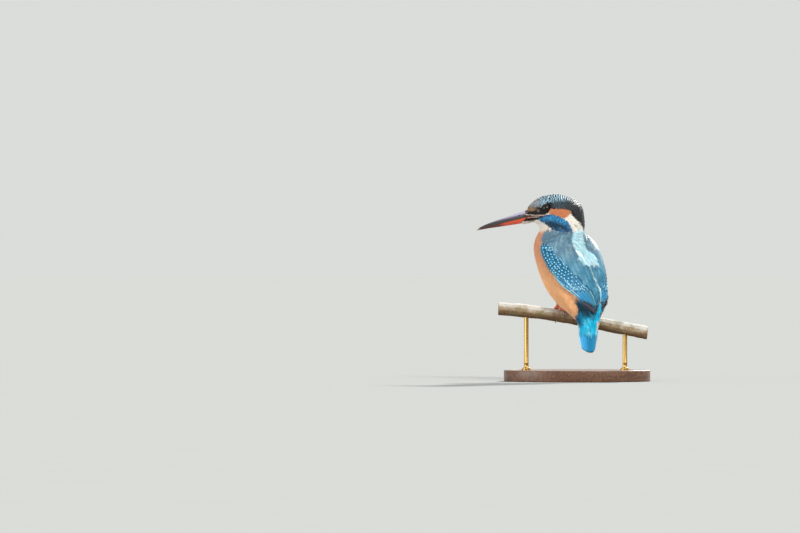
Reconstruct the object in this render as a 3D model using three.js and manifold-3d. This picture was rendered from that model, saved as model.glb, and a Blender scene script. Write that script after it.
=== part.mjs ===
// A common kingfisher, life size, perched on a short cut branch that two rods hold over an oval base.
// Millimetres, +Z up. The bird's trunk faces -Y and its left side is +X; the head is turned to its left.
// The origin is the centre of the base's underside.
import * as THREE from "three";
import { mergeVertices } from "three/addons/utils/BufferGeometryUtils.js";
import Module from "manifold-3d";

const wasm = await Module();
wasm.setup();

// ---------------------------------------------------------------- driving sizes
const GAP = 0.3; // between neighbouring solids
const PERCH_HEIGHT = 44; // the perch's axis over the floor, under the bird
const PERCH_TURN = 57; // degrees from the bird's +Y round to the perch's thick end, towards -X
const PERCH_RADIUS = 4.5;
const PERCH_REACH = [-56, 50]; // the two cut ends, along the perch

const HEAD_TURN = 49; // degrees to the bird's left
const HEAD_CENTRE = [3, -17.4];
const BILL_LENGTH = 36.8; // from the feathers to the tip
const BILL_PITCH = 13.4; // degrees below level
const BILL_HALF_WIDTH = 4.6;
const UPPER_DEPTH = 4.7;
const LOWER_DEPTH = 3.8;
const EYE_RADIUS = 3.6;

const WING_TOP = 60.5;
const WING_THICKNESS = 2.3;
const TAIL_TIP = -23.7; // relative to the perch's axis
const TAIL_HALF_WIDTH = 8.6;
const TAIL_PLACE = 15.6; // how far the tail hangs behind the perch's axis

const BASE_LENGTH = 104;
const BASE_WIDTH = 66;
const BASE_THICKNESS = 8;
const ROD_RADIUS = 1.6;
const ROD_PLACES = [-36, 34]; // along the perch

const RAD = Math.PI / 180;
const UP = new THREE.Vector3(0, 0, 1);

// ---------------------------------------------------------------- helpers
const clamp01 = (t) => Math.min(1, Math.max(0, t));
const mix = (a, b, t) => a + (b - a) * t;
const smooth = (a, b, t) => {
  const s = clamp01((t - a) / (b - a));
  return s * s * (3 - 2 * s);
};
// A signed power, which makes a circle's sine or cosine squarer or more pointed.
const power = (v, e) => Math.sign(v) * Math.abs(v) ** e;

// A smooth curve through stations [position, value], with no overshoot.
function through(stations) {
  const slopes = stations.slice(1).map((b, i) => (b[1] - stations[i][1]) / (b[0] - stations[i][0]));
  const tangents = stations.map((_, i) => {
    if (i === 0) return slopes[0];
    if (i === slopes.length) return slopes[i - 1];
    const [a, b] = [slopes[i - 1], slopes[i]];
    return a * b <= 0 ? 0 : (2 * a * b) / (a + b);
  });
  return (x) => {
    const last = stations.length - 1;
    if (x <= stations[0][0]) return stations[0][1];
    if (x >= stations[last][0]) return stations[last][1];
    const i = stations.findIndex((s) => s[0] > x) - 1;
    const [x0, y0] = stations[i];
    const [x1, y1] = stations[i + 1];
    const h = x1 - x0;
    const t = (x - x0) / h;
    const t2 = t * t;
    const t3 = t2 * t;
    return (
      (2 * t3 - 3 * t2 + 1) * y0 +
      (t3 - 2 * t2 + t) * h * tangents[i] +
      (3 * t2 - 2 * t3) * y1 +
      (t3 - t2) * h * tangents[i + 1]
    );
  };
}

// A closed surface over rings with the same number of points; its ends are fans round their middles.
function loft(rings) {
  const n = rings[0].length;
  const points = rings.flat();
  const faces = [];
  for (let r = 0; r + 1 < rings.length; r++) {
    for (let i = 0; i < n; i++) {
      const a = r * n + i;
      const b = r * n + ((i + 1) % n);
      faces.push([a, b, b + n], [a, b + n, a + n]);
    }
  }
  const middle = (ring) => ring.reduce((s, p) => s.add(p), new THREE.Vector3()).divideScalar(n);
  const last = (rings.length - 1) * n;
  const [start, end] = [points.length, points.length + 1];
  points.push(middle(rings[0]), middle(rings[rings.length - 1]));
  for (let i = 0; i < n; i++) {
    const j = (i + 1) % n;
    faces.push([start, j, i], [end, last + i, last + j]);
  }
  const at = (f, k) => points[f[k]];
  const volume = faces.reduce((v, f) => v + at(f, 0).dot(at(f, 1).clone().cross(at(f, 2))), 0);
  const index = faces.flatMap((f) => (volume > 0 ? f : [f[0], f[2], f[1]]));
  const geometry = new THREE.BufferGeometry().setFromPoints(points);
  geometry.setIndex(index);
  return geometry;
}

function solid(geometry) {
  const bare = new THREE.BufferGeometry();
  bare.setAttribute("position", geometry.getAttribute("position"));
  bare.setIndex(geometry.index);
  const merged = mergeVertices(bare, 1e-4);
  return new wasm.Manifold(
    new wasm.Mesh({
      numProp: 3,
      vertProperties: merged.attributes.position.array,
      triVerts: new Uint32Array(merged.index.array),
    }),
  );
}

function geometryOf(made) {
  const m = made.getMesh();
  const points = new Float32Array(m.numVert * 3);
  for (let i = 0; i < m.numVert; i++) {
    points.set(m.vertProperties.subarray(i * m.numProp, i * m.numProp + 3), i * 3);
  }
  return new THREE.BufferGeometry()
    .setAttribute("position", new THREE.BufferAttribute(points, 3))
    .setIndex(new THREE.BufferAttribute(m.triVerts, 1));
}

// A block that holds everything above a plane, for the thin cuts.
function above(point, normal, size = 200) {
  const block = new THREE.BoxGeometry(size, size, size);
  block.translate(0, 0, size / 2);
  block.applyQuaternion(new THREE.Quaternion().setFromUnitVectors(UP, normal.clone().normalize()));
  block.translate(point.x, point.y, point.z);
  return solid(block);
}

// A tapered round tube along a curve.
function tube(curve, radius, sides, steps, from = 0) {
  const frames = curve.computeFrenetFrames(steps, false);
  const rings = [];
  for (let s = 0; s <= steps; s++) {
    const centre = curve.getPointAt(s / steps);
    const r = radius(mix(from, 1, s / steps));
    rings.push(
      Array.from({ length: sides }, (_, i) => {
        const a = (i / sides) * 2 * Math.PI;
        return centre
          .clone()
          .addScaledVector(frames.normals[s], r * Math.cos(a))
          .addScaledVector(frames.binormals[s], r * Math.sin(a));
      }),
    );
  }
  return loft(rings);
}

// ---------------------------------------------------------------- the perch
const along = new THREE.Vector3(-Math.sin(PERCH_TURN * RAD), Math.cos(PERCH_TURN * RAD), 0);
const across = new THREE.Vector3(Math.cos(PERCH_TURN * RAD), Math.sin(PERCH_TURN * RAD), 0);
const perchRise = through([
  [PERCH_REACH[0], 7.6],
  [-42, 6.4],
  [-14, 2.8],
  [0, 0],
  [16, -3.1],
  [PERCH_REACH[1], -9.7],
]);
const KNOT = -40; // where a side twig was
const perchPoint = (u) => along.clone().multiplyScalar(u).setZ(PERCH_HEIGHT + perchRise(u));
const perchTangent = (u) => perchPoint(u + 0.5).sub(perchPoint(u - 0.5)).normalize();
const perchUp = (u) => across.clone().cross(perchTangent(u)).normalize();
// The radius at u along the perch and angle a round it, from the top towards +across.
function perchRadius(u, a) {
  const lumps = 0.14 * Math.sin(u * 0.31 + 2 * a) + 0.09 * Math.sin(u * 0.83 - a);
  const knot = Math.exp(-(((u - KNOT) / 2.2) ** 2));
  const bud = Math.exp(-(((u - KNOT) / 1.6) ** 2)) * Math.max(0, Math.cos(a + 0.3)) ** 6;
  return PERCH_RADIUS + 0.006 * u + lumps + 0.45 * knot + 0.7 * bud;
}
function perch(swell = () => 0) {
  const [steps, sides] = [23, 11];
  const rings = [];
  for (let s = 0; s <= steps; s++) {
    const u = mix(PERCH_REACH[0], PERCH_REACH[1], s / steps);
    const [centre, up] = [perchPoint(u), perchUp(u)];
    rings.push(
      Array.from({ length: sides }, (_, i) => {
        const a = (i / sides) * 2 * Math.PI;
        const r = perchRadius(u, a) + swell(u);
        return centre.clone().addScaledVector(up, r * Math.cos(a)).addScaledVector(across, r * Math.sin(a));
      }),
    );
  }
  return loft(rings);
}

// ---------------------------------------------------------------- the body, from tail coverts to crown
// Each level of the body is an egg: reaches forward, back and sideways of a centre, turned to a heading.
// Levels are heights over the perch's axis.
const LEVELS = [
  { z: -12, x: 0, y: 15.6, front: 1.6, back: 2.0, side: 6.2, turn: 0 },
  { z: -6, x: 0, y: 15.4, front: 4.0, back: 3.2, side: 8.6, turn: 3 },
  { z: 0, x: 0, y: 14, front: 8.0, back: 4.8, side: 11.4, turn: 8 },
  { z: 5, x: -0.4, y: 11.5, front: 13.5, back: 7.4, side: 15.4, turn: 11 },
  { z: 10, x: -0.3, y: 8.5, front: 19, back: 10.2, side: 18.6, turn: 13 },
  { z: 21, x: 0, y: 0.5, front: 23, back: 16.6, side: 22.2, turn: 14 },
  { z: 34, x: 0, y: -6.5, front: 25, back: 18, side: 23.6, turn: 10 },
  { z: 45, x: 0, y: -12, front: 25.5, back: 18.5, side: 23.4, turn: 7 },
  { z: 54, x: 0.4, y: -15.5, front: 24, back: 17.2, side: 21, turn: 9 },
  { z: 60, x: 1.4, y: -16.8, front: 19.5, back: 16.8, side: 17.2, turn: 20 },
  { z: 64.5, x: 2.3, y: -17.2, front: 15.2, back: 17.8, side: 14.6, turn: 35 },
  { z: 68, x: 2.8, y: -17.4, front: 17.6, back: 18.2, side: 13.8, turn: 45 },
  { z: 72, x: 3, y: -17.4, front: 23, back: 17.8, side: 13.6, turn: 49 },
  { z: 76.5, x: 3, y: -17.4, front: 24.6, back: 17.3, side: 13.2, turn: 49 },
  { z: 80, x: 3, y: -17.4, front: 23, back: 16.3, side: 12.1, turn: 49 },
  { z: 84, x: 3, y: -17.4, front: 19.2, back: 12.6, side: 9.8, turn: 49 },
  { z: 87, x: 3, y: -17.4, front: 14.4, back: 7.6, side: 6.6, turn: 49 },
  { z: 88.6, x: 3, y: -17.4, front: 9, back: 2.4, side: 3.2, turn: 49 },
];
const CROWN_TOP = 89.2;
const level = Object.fromEntries(
  ["x", "y", "front", "back", "side", "turn"].map((key) => [key, through(LEVELS.map((l) => [l.z, l[key]]))]),
);
// How much the level's egg narrows forward: only the head tapers to its bill.
const taper = (z) => 0.3 * smooth(62, 72, z);

// The body's surface at height z and angle a, from the back round by the left side; swell moves it outwards.
function bodyPoint(z, a, swell = 0) {
  const forward = -Math.cos(a);
  const sideways = Math.sin(a);
  const reach = (forward > 0 ? level.front(z) : level.back(z)) + swell;
  const narrow = 1 - taper(z) * Math.max(0, forward) ** 0.5;
  const f = reach * forward;
  const s = (level.side(z) * narrow + swell) * sideways;
  const turn = level.turn(z) * RAD;
  return new THREE.Vector3(
    level.x(z) + f * Math.sin(turn) + s * Math.cos(turn),
    level.y(z) - f * Math.cos(turn) + s * Math.sin(turn),
    PERCH_HEIGHT + z,
  );
}
function wholeBody(sides = 28) {
  const heights = [-12];
  while (heights[heights.length - 1] < 86) {
    const z = heights[heights.length - 1];
    heights.push(z + (z < 8 || z > 60 ? 2.7 : 4.2) - 1.2 * smooth(80, 86, z));
  }
  heights.push(87.6, 88.6, CROWN_TOP);
  const rings = heights.map((z) =>
    Array.from({ length: sides }, (_, i) => {
      const p = bodyPoint(Math.min(z, 88.6), (i / sides) * 2 * Math.PI);
      if (z < CROWN_TOP) return p;
      const middle = bodyPoint(88.6, 0).add(bodyPoint(88.6, Math.PI)).divideScalar(2);
      return p.lerp(middle, 0.55).setZ(PERCH_HEIGHT + z);
    }),
  );
  return loft(rings);
}

// ---------------------------------------------------------------- head frame, bill and eyes
const headForward = new THREE.Vector3(Math.sin(HEAD_TURN * RAD), -Math.cos(HEAD_TURN * RAD), 0);
const headLeft = new THREE.Vector3(Math.cos(HEAD_TURN * RAD), Math.sin(HEAD_TURN * RAD), 0);
const headPlace = (forward, left, z) =>
  new THREE.Vector3(HEAD_CENTRE[0], HEAD_CENTRE[1], PERCH_HEIGHT + z)
    .addScaledVector(headForward, forward)
    .addScaledVector(headLeft, left);
const BILL_ROOT = headPlace(24.6, 0, 72.5); // on the line where the mandibles meet, at the feathers
const billForward = headForward
  .clone()
  .multiplyScalar(Math.cos(BILL_PITCH * RAD))
  .setZ(-Math.sin(BILL_PITCH * RAD));
const billUp = headLeft.clone().cross(billForward).negate();
const BILL_EMBEDDED = 8;

// One mandible: side is 1 for the upper and -1 for the lower.
function mandible(side, swell = 0) {
  const depth = side > 0 ? UPPER_DEPTH : LOWER_DEPTH;
  const width = side > 0 ? BILL_HALF_WIDTH : BILL_HALF_WIDTH * 0.9;
  const length = side > 0 ? BILL_LENGTH : BILL_LENGTH - 0.6;
  const [sides, steps] = [9, 8];
  const rings = [];
  for (let s = 0; s <= steps; s++) {
    const a = mix(-BILL_EMBEDDED - swell, length, s / steps);
    const left = clamp01(1 - a / length);
    const w = width * Math.min(left, 1) + 0.3 + swell;
    const h = depth * left ** 0.72 + 0.25 + 2 * swell;
    rings.push(
      Array.from({ length: sides }, (_, i) => {
        const t = (i / (sides - 1)) * Math.PI; // over the culmen, or under the gonys
        const lateral = w * power(Math.cos(t), 0.8);
        const height = side * (GAP / 2 - swell + h * Math.sin(t) ** 0.9);
        const droop = -0.5 * smooth(0.75, 1, a / length); // the tip turns down
        return BILL_ROOT.clone()
          .addScaledVector(billForward, a)
          .addScaledVector(headLeft, lateral)
          .addScaledVector(billUp, height + droop);
      }),
    );
  }
  return loft(rings);
}

const EYE_HEIGHT = 78.7;
const EYE_FORWARD = 8.6;
const EYE_ASIDE = 7.3;
const eyeCentre = (side) => headPlace(EYE_FORWARD, side * EYE_ASIDE, EYE_HEIGHT);
const eyeball = (swell = 0) => new THREE.SphereGeometry(EYE_RADIUS + swell, 12, 8);

// ---------------------------------------------------------------- folded wings
// A wing lies on the body between an inner edge, beside the spine, and an outer edge, along the flank.
// Edges are angles from the spine round to that wing's side, in degrees, by height.
const OUTER_EDGE = [
  [3, 2],
  [4.5, 19],
  [7, 36],
  [11, 51],
  [16, 57],
  [23, 67],
  [32.5, 82],
  [43, 91],
  [51, 95],
  [56, 88],
  [WING_TOP, 62],
];
const WINGS = {
  left: {
    side: 1,
    tip: 3.7,
    shift: 0,
    inner: [[3, -10], [8, -13], [14, -14], [21, -12], [30, -4], [40, 0], [44, 5], [50, 16], [56, 26], [WING_TOP, 42]],
  },
  right: {
    side: -1,
    tip: 5,
    shift: 14,
    inner: [[3, 40], [8, 34], [14, 27], [21, 20], [30, 12], [38, 8], [44, 9], [50, 14], [56, 23], [WING_TOP, 45]],
  },
};
const COVERTS_END = 0.46; // share of the wing's length under its coverts
// Height of the feathers' relief, at share s down the wing and q from the inner to the outer edge.
function featherRelief(s, q) {
  const rows = (s / COVERTS_END) * 5;
  const covert = 0.28 * (rows - Math.floor(rows)) + 0.1 * Math.cos(q * 22 + 3 * Math.floor(rows));
  const quills = q * 7 + 1.1 * s;
  const flight = 0.34 * (1 - (quills - Math.floor(quills))) - 0.5 * smooth(COVERTS_END, 1, s);
  return mix(covert, flight, smooth(COVERTS_END - 0.03, COVERTS_END + 0.02, s));
}
function wing(name) {
  const { side, tip, shift, inner } = WINGS[name];
  const [outerEdge, innerEdge] = [through(OUTER_EDGE), through(inner)];
  const [steps, outerSides, innerSides] = [21, 13, 8];
  const rings = [];
  for (let k = 0; k <= steps; k++) {
    const s = k / steps;
    const z = mix(WING_TOP, tip, s);
    const from = innerEdge(z);
    const to = Math.max(outerEdge(z) + shift * smooth(24, 4, z), from + 5);
    const thick = WING_THICKNESS * mix(1, 0.55, smooth(0.5, 1, s)) * smooth(-0.08, 0.16, s);
    const at = (q, out) => {
      const edge = Math.sqrt(Math.max(0, 1 - Math.abs(2 * q - 1) ** 5));
      const lift = GAP + 0.1 + out * (0.5 + (thick + featherRelief(s, q)) * edge);
      const p = bodyPoint(z, side * mix(from, to, q) * RAD, lift);
      return p;
    };
    const ring = [];
    for (let i = 0; i < outerSides; i++) ring.push(at(i / (outerSides - 1), 1));
    for (let i = innerSides - 1; i >= 0; i--) ring.push(at(i / (innerSides - 1), 0));
    rings.push(ring);
  }
  return loft(rings);
}

// ---------------------------------------------------------------- tail
function tail(swell = 0) {
  const ROOT = 1;
  const [steps, sides] = [11, 9];
  const rings = [];
  for (let k = 0; k <= steps; k++) {
    const s = k / steps;
    const z = mix(ROOT + swell, TAIL_TIP - swell, s);
    const end = Math.sqrt(1 - 0.93 * clamp01((s - 0.64) / 0.36) ** 2);
    const half = TAIL_HALF_WIDTH * (1 - 0.16 * smooth(0.4, 0.8, s)) * end + swell;
    const thick = mix(1.5, 0.55, s) + swell;
    const place = (x, out) => {
      const q = x / half;
      const cup = 1.1 * q * q * (1 - 0.4 * s); // the sides fold under
      const vane = Math.abs(((q * 3 + 6.5) % 1) - 0.5) * 0.35;
      const y = TAIL_PLACE + 0.6 * s - cup + out * thick * (1 - 0.35 * q * q) + (out > 0 ? vane : 0);
      return new THREE.Vector3(x, y, PERCH_HEIGHT + z);
    };
    const ring = [];
    for (let i = 0; i < sides; i++) ring.push(place(mix(-half, half, i / (sides - 1)), 1));
    for (let i = sides - 1; i >= 0; i--) ring.push(place(mix(-half, half, i / (sides - 1)), -1));
    rings.push(ring);
  }
  return loft(rings);
}

// ---------------------------------------------------------------- legs, toes and claws
// Toes lie round the perch. Aside is how far along the perch a toe starts from the foot's middle, splay
// how far it then spreads, and turn the degrees it wraps: way 1 towards the tail, -1 towards the breast.
const TOES = [
  { name: "hallux", way: 1, aside: 1.2, splay: 3.2, turn: 50, claw: 30, drift: 0.9, radius: 0.95 },
  { name: "inner", way: -1, aside: 1.9, splay: 2.2, turn: 78, claw: 42, drift: 0.3, radius: 0.85 },
  { name: "middle", way: -1, aside: 0.1, splay: 0.2, turn: 118, claw: 44, drift: 0, radius: 0.95 },
  { name: "outer", way: -1, aside: -1.6, splay: -0.2, turn: 104, claw: 42, drift: 0, radius: 0.9 },
];
const FEET = { left: { place: -14.6, side: 1 }, right: { place: 6.5, side: -1 } };
const HIPS = { left: [8.5, -1.5, 16], right: [-8.5, 3.5, 15] };
const TARSUS_RADIUS = 1.15;
const TOE_ROOM = 3.1;

// A point over the perch's surface: u along it, a round it from the top towards +across.
const onPerch = (u, a, lift) =>
  perchPoint(u)
    .addScaledVector(perchUp(u), (perchRadius(u, a) + lift) * Math.cos(a))
    .addScaledVector(across, (perchRadius(u, a) + lift) * Math.sin(a));

function toeCurve(foot, toe) {
  const { place, side } = FEET[foot];
  const points = [];
  for (let k = 0; k <= 6; k++) {
    const t = k / 6;
    const u = place + side * (toe.aside * smooth(-0.3, 0.35, t) + toe.splay * t);
    const a = toe.way * mix(2, toe.turn, t) * RAD;
    points.push(onPerch(u, a, toe.radius + GAP + 0.25 * Math.sin(t * Math.PI * 2) ** 2));
  }
  return new THREE.CatmullRomCurve3(points);
}
function clawCurve(foot, toe) {
  const { place, side } = FEET[foot];
  const points = [];
  for (let k = 0; k <= 4; k++) {
    const t = k / 4;
    const u = place + side * (toe.aside + toe.splay + toe.drift * t);
    const a = toe.way * (toe.turn + 4.5 + toe.claw * t) * RAD;
    const lift = GAP + 0.1 + mix(0.75, 0.1, t) + 0.9 * Math.sin(t * Math.PI) * 0.8;
    points.push(onPerch(u, a, lift));
  }
  return new THREE.CatmullRomCurve3(points);
}
const ankle = (foot) => onPerch(FEET[foot].place, 0, 1.25);
function shin(foot, swell = 0) {
  const [hx, hy, hz] = HIPS[foot];
  const bone = new THREE.CatmullRomCurve3([
    ankle(foot),
    ankle(foot).add(new THREE.Vector3(0, 0.8, 3)),
    new THREE.Vector3(hx, hy, PERCH_HEIGHT + hz - 3),
    new THREE.Vector3(hx, hy, PERCH_HEIGHT + hz),
  ]);
  return tube(bone, (t) => TARSUS_RADIUS + 0.5 * smooth(0.45, 1, t) + swell, 7, 5);
}
function leg(foot) {
  let made = solid(shin(foot));
  for (const toe of TOES) {
    const pads = (t) => toe.radius * (1 - 0.28 * t) * (1 + 0.08 * Math.cos(t * 18));
    made = made.add(solid(tube(toeCurve(foot, toe), pads, 6, 5)));
  }
  const ball = new THREE.SphereGeometry(1.25, 7, 5);
  ball.translate(...ankle(foot));
  return made.add(solid(ball));
}
function claw(foot, toe) {
  const point = (t) => mix(0.55, 0.16, t ** 1.2);
  return tube(clawCurve(foot, toe), point, 5, 4);
}

// ---------------------------------------------------------------- stand
function standBase() {
  const bevel = 1.6;
  const shape = new THREE.Shape();
  shape.absellipse(0, 0, BASE_LENGTH / 2 - bevel, BASE_WIDTH / 2 - bevel, 0, 2 * Math.PI, false, 0);
  const slab = new THREE.ExtrudeGeometry(shape, {
    depth: BASE_THICKNESS - 2 * bevel,
    bevelThickness: bevel,
    bevelSize: bevel,
    bevelSegments: 2,
    curveSegments: 18,
  });
  return slab.translate(0, 0, bevel);
}
// A rod with a round foot, from the base's top up into the perch.
const rodPlace = (u) => along.clone().multiplyScalar(u).setZ(BASE_THICKNESS);
function rod(u, swell = 0) {
  const foot = [[0, 0], [3.4, 0], [3.4, 0.9], [2.4, 1.6], [ROD_RADIUS + swell, 1.9]];
  const top = PERCH_HEIGHT + perchRise(u) - BASE_THICKNESS + swell;
  const outline = [...foot, [ROD_RADIUS + swell, top - 0.4], [ROD_RADIUS + swell - 0.4, top], [0, top]];
  return new THREE.LatheGeometry(outline.map(([r, h]) => new THREE.Vector2(r, h)), 14).rotateX(Math.PI / 2);
}

// ---------------------------------------------------------------- parting the body
const HEAD_CUT = { point: headPlace(0, 0, 66.2), normal: UP.clone().addScaledVector(headForward, 0.1) };
const NECK_CUT = { point: bodyPoint(57.5, 0).setX(0).setY(-14), normal: new THREE.Vector3(0, -0.22, 1) };
const lowered = (cut) => cut.point.clone().addScaledVector(UP, -GAP);

const body = solid(wholeBody());
let head = body.intersect(above(HEAD_CUT.point, HEAD_CUT.normal));
const neck = body
  .subtract(above(lowered(HEAD_CUT), HEAD_CUT.normal))
  .intersect(above(NECK_CUT.point, NECK_CUT.normal));
let trunk = body.subtract(above(lowered(NECK_CUT), NECK_CUT.normal));

for (const side of [1, -1]) {
  const socket = eyeball(GAP).translate(...eyeCentre(side));
  head = head.subtract(solid(mandible(side, GAP))).subtract(solid(socket));
}
// The belly rests round the perch, with room for the toes beside each foot.
const roomBy = (foot, u) => TOE_ROOM * smooth(8.5, 4.5, Math.abs(u - foot.place));
const clearOfToes = (u) => GAP + roomBy(FEET.left, u) + roomBy(FEET.right, u);
trunk = trunk.subtract(solid(tail(GAP))).subtract(solid(perch(clearOfToes)));
for (const foot of Object.keys(FEET)) {
  trunk = trunk.subtract(solid(shin(foot, GAP)));
}

let branch = solid(perch());
for (const u of ROD_PLACES) branch = branch.subtract(solid(rod(u, GAP).translate(...rodPlace(u))));

// ---------------------------------------------------------------- finishes and the scene graph
function finish(color, roughness, metalness = 0) {
  return new THREE.MeshStandardMaterial({ color, roughness, metalness });
}
const finishes = {
  crown: finish(0x1d5a6b, 0.6),
  orange: finish(0xe08a4c, 0.8),
  blue: finish(0x2f86a8, 0.5),
  azure: finish(0x1397cf, 0.45),
  legs: finish(0xd2452c, 0.5),
  claws: finish(0x3a2622, 0.4),
  upperBill: finish(0x1f1d22, 0.35),
  lowerBill: finish(0xd9552f, 0.4),
  eyes: finish(0x0c0706, 0.08),
  bark: finish(0xa39a86, 0.9),
  wood: finish(0x4a2f1e, 0.45),
  brass: finish(0xb08d4a, 0.3, 1),
};

const bird = new THREE.Group();
const stand = new THREE.Group();
function add(group, name, geometry, material, place = new THREE.Vector3()) {
  const mesh = new THREE.Mesh(geometry, material);
  mesh.name = name;
  mesh.position.copy(place);
  group.add(mesh);
  return mesh;
}

add(bird, "head", geometryOf(head), finishes.crown);
add(bird, "neck", geometryOf(neck), finishes.orange);
add(bird, "trunk", geometryOf(trunk), finishes.orange);
add(bird, "bill_upper", mandible(1), finishes.upperBill);
add(bird, "bill_lower", mandible(-1), finishes.lowerBill);
add(bird, "eye_left", eyeball(), finishes.eyes, eyeCentre(1));
add(bird, "eye_right", eyeball(), finishes.eyes, eyeCentre(-1));
for (const name of Object.keys(WINGS)) add(bird, `wing_${name}`, wing(name), finishes.blue);
add(bird, "tail", tail(), finishes.azure);
for (const foot of Object.keys(FEET)) {
  add(bird, `leg_${foot}`, geometryOf(leg(foot)), finishes.legs);
  for (const toe of TOES) add(bird, `claw_${foot}_${toe.name}`, claw(foot, toe), finishes.claws);
}
add(stand, "perch", geometryOf(branch), finishes.bark);
add(stand, "stand_base", standBase(), finishes.wood).rotation.z = (90 + PERCH_TURN) * RAD;
ROD_PLACES.forEach((u, i) => add(stand, `stand_rod_${i + 1}`, rod(u), finishes.brass, rodPlace(u)));

const kingfisher = new THREE.Group();
kingfisher.add(bird, stand);
export default kingfisher;
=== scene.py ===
"""A life-size common kingfisher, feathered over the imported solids, on a short perch and a display stand."""

import itertools
import math

import bmesh
import bpy
import numpy as np
from bpy.props import FloatProperty, FloatVectorProperty, IntProperty, PointerProperty
from mathutils import Matrix, Vector
from mathutils.bvhtree import BVHTree


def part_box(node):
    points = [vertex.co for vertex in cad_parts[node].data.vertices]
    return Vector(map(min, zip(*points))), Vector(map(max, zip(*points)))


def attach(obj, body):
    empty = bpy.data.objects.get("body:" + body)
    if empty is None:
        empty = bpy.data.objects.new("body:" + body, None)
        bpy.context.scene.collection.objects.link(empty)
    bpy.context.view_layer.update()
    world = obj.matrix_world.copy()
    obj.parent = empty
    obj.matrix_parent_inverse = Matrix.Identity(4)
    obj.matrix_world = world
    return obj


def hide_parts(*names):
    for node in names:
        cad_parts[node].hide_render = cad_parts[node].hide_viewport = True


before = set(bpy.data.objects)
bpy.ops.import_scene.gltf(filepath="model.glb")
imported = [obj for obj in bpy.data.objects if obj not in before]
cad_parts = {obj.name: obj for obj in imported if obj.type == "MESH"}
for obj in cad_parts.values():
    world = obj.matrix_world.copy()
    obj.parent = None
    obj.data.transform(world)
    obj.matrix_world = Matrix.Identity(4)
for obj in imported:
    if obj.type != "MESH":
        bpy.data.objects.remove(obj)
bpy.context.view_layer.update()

bl_info = {
    "name": "Common Kingfisher",
    "version": (1, 0, 0),
    "blender": (4, 5, 0),
    "location": "3D View > Sidebar > Kingfisher",
    "description": "Feathers, bill, eyes, feet, perch and stand of a life-size kingfisher",
    "category": "Object",
}

# ---------------- the bird's own axes
# Lengths are millimetres and heights are over the perch's axis, until a mesh is made.
MM = 0.001
PERCH_HEIGHT = 44.0
PERCH_TURN = math.radians(57)
ALONG = np.array([-math.sin(PERCH_TURN), math.cos(PERCH_TURN), 0.0])
ACROSS = np.array([math.cos(PERCH_TURN), math.sin(PERCH_TURN), 0.0])
UP = np.array([0.0, 0.0, 1.0])
PERCH_ENDS = (-56.0, 50.0)
PERCH_RISE = np.array([(-56, 7.6), (-42, 6.4), (-14, 2.8), (0, 0), (16, -3.1), (50, -9.7)])  # along, up
ROD_PLACES = (-36.0, 34.0)

HEAD_TURN = math.radians(49)
HEAD_CENTRE = np.array([3.0, -17.4, 0.0])
FORWARD = np.array([math.sin(HEAD_TURN), -math.cos(HEAD_TURN), 0.0])
LEFT = np.array([math.cos(HEAD_TURN), math.sin(HEAD_TURN), 0.0])
SKULL_HEIGHT = 74.0  # the middle of the head, from which its rows of feathers are laid out

# The line through the middle of the body: height, x, y, and the degrees it is turned to its left.
SPINE = np.array([
    (-24, 0, 15.6, 0),
    (-12, 0, 15.6, 0),
    (0, 0, 14, 8),
    (10, -0.3, 8.5, 13),
    (21, 0, 0.5, 14),
    (34, 0, -6.5, 10),
    (45, 0, -12, 7),
    (54, 0.4, -15.5, 9),
    (60, 1.4, -16.8, 20),
    (64.5, 2.3, -17.2, 35),
    (72, 3, -17.4, 49),
])

# The folded wing's outer edge: degrees from the spine round the side, by height.
WING_OUTER = np.array([
    (3, 2), (4.5, 19), (7, 36), (11, 51), (16, 57), (23, 68), (28, 79), (32.5, 87), (38, 91), (43, 93),
    (51, 96), (56, 89), (60.5, 62),
])
WING_INNER = {
    1: np.array([
        (3, -10), (8, -13), (14, -14), (21, -12), (30, -4), (40, 0), (44, 5), (50, 16), (56, 26), (60.5, 42),
    ]),
    -1: np.array([
        (3, 40), (8, 34), (14, 27), (21, 20), (30, 12), (38, 8), (44, 9), (50, 14), (56, 23), (60.5, 45),
    ]),
}
SIDE_NAMES = {1: "left", -1: "right"}
OUTSIDE = 60.0  # from the spine or the middle of the head to a place outside the bird


def head_axes(points):
    """How far forward, left and high the points are in the turned head."""
    away = points - HEAD_CENTRE
    return away @ FORWARD, away @ LEFT, points[:, 2]


def head_place(forward, aside, height):
    return HEAD_CENTRE + FORWARD * forward + LEFT * aside + UP * height


def perch_axes(points):
    """How far along the perch, across it and over its middle line the points are."""
    along = points @ ALONG
    return along, points @ ACROSS, points[:, 2] - np.interp(along, PERCH_RISE[:, 0], PERCH_RISE[:, 1])


def spine_at(height):
    """The spine's x and y at a height, and its turn in radians."""
    middle_x, middle_y, turn = (np.interp(height, SPINE[:, 0], SPINE[:, k]) for k in (1, 2, 3))
    return middle_x, middle_y, np.radians(turn)


def body_axes(points):
    """Degrees from the spine round by the left side, and height."""
    height = points[:, 2]
    middle_x, middle_y, turn = spine_at(height)
    x = points[:, 0] - middle_x
    y = points[:, 1] - middle_y
    left = x * np.cos(turn) + y * np.sin(turn)
    back = -x * np.sin(turn) + y * np.cos(turn)
    return np.degrees(np.arctan2(left, back)), height


def spine_ray(angle, height):
    """The spine's point at a height, and the direction from it at an angle from the back."""
    middle_x, middle_y, turn = spine_at(height)
    back, left = math.cos(math.radians(angle)), math.sin(math.radians(angle))
    way = (left * math.cos(turn) - back * math.sin(turn), left * math.sin(turn) + back * math.cos(turn), 0.0)
    return np.array([middle_x, middle_y, height]), np.array(way)


def smooth(start, end, value):
    """A soft step from 0 at start to 1 at end."""
    step = np.clip((value - start) / (end - start), 0.0, 1.0)
    return step * step * (3 - 2 * step)


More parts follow.
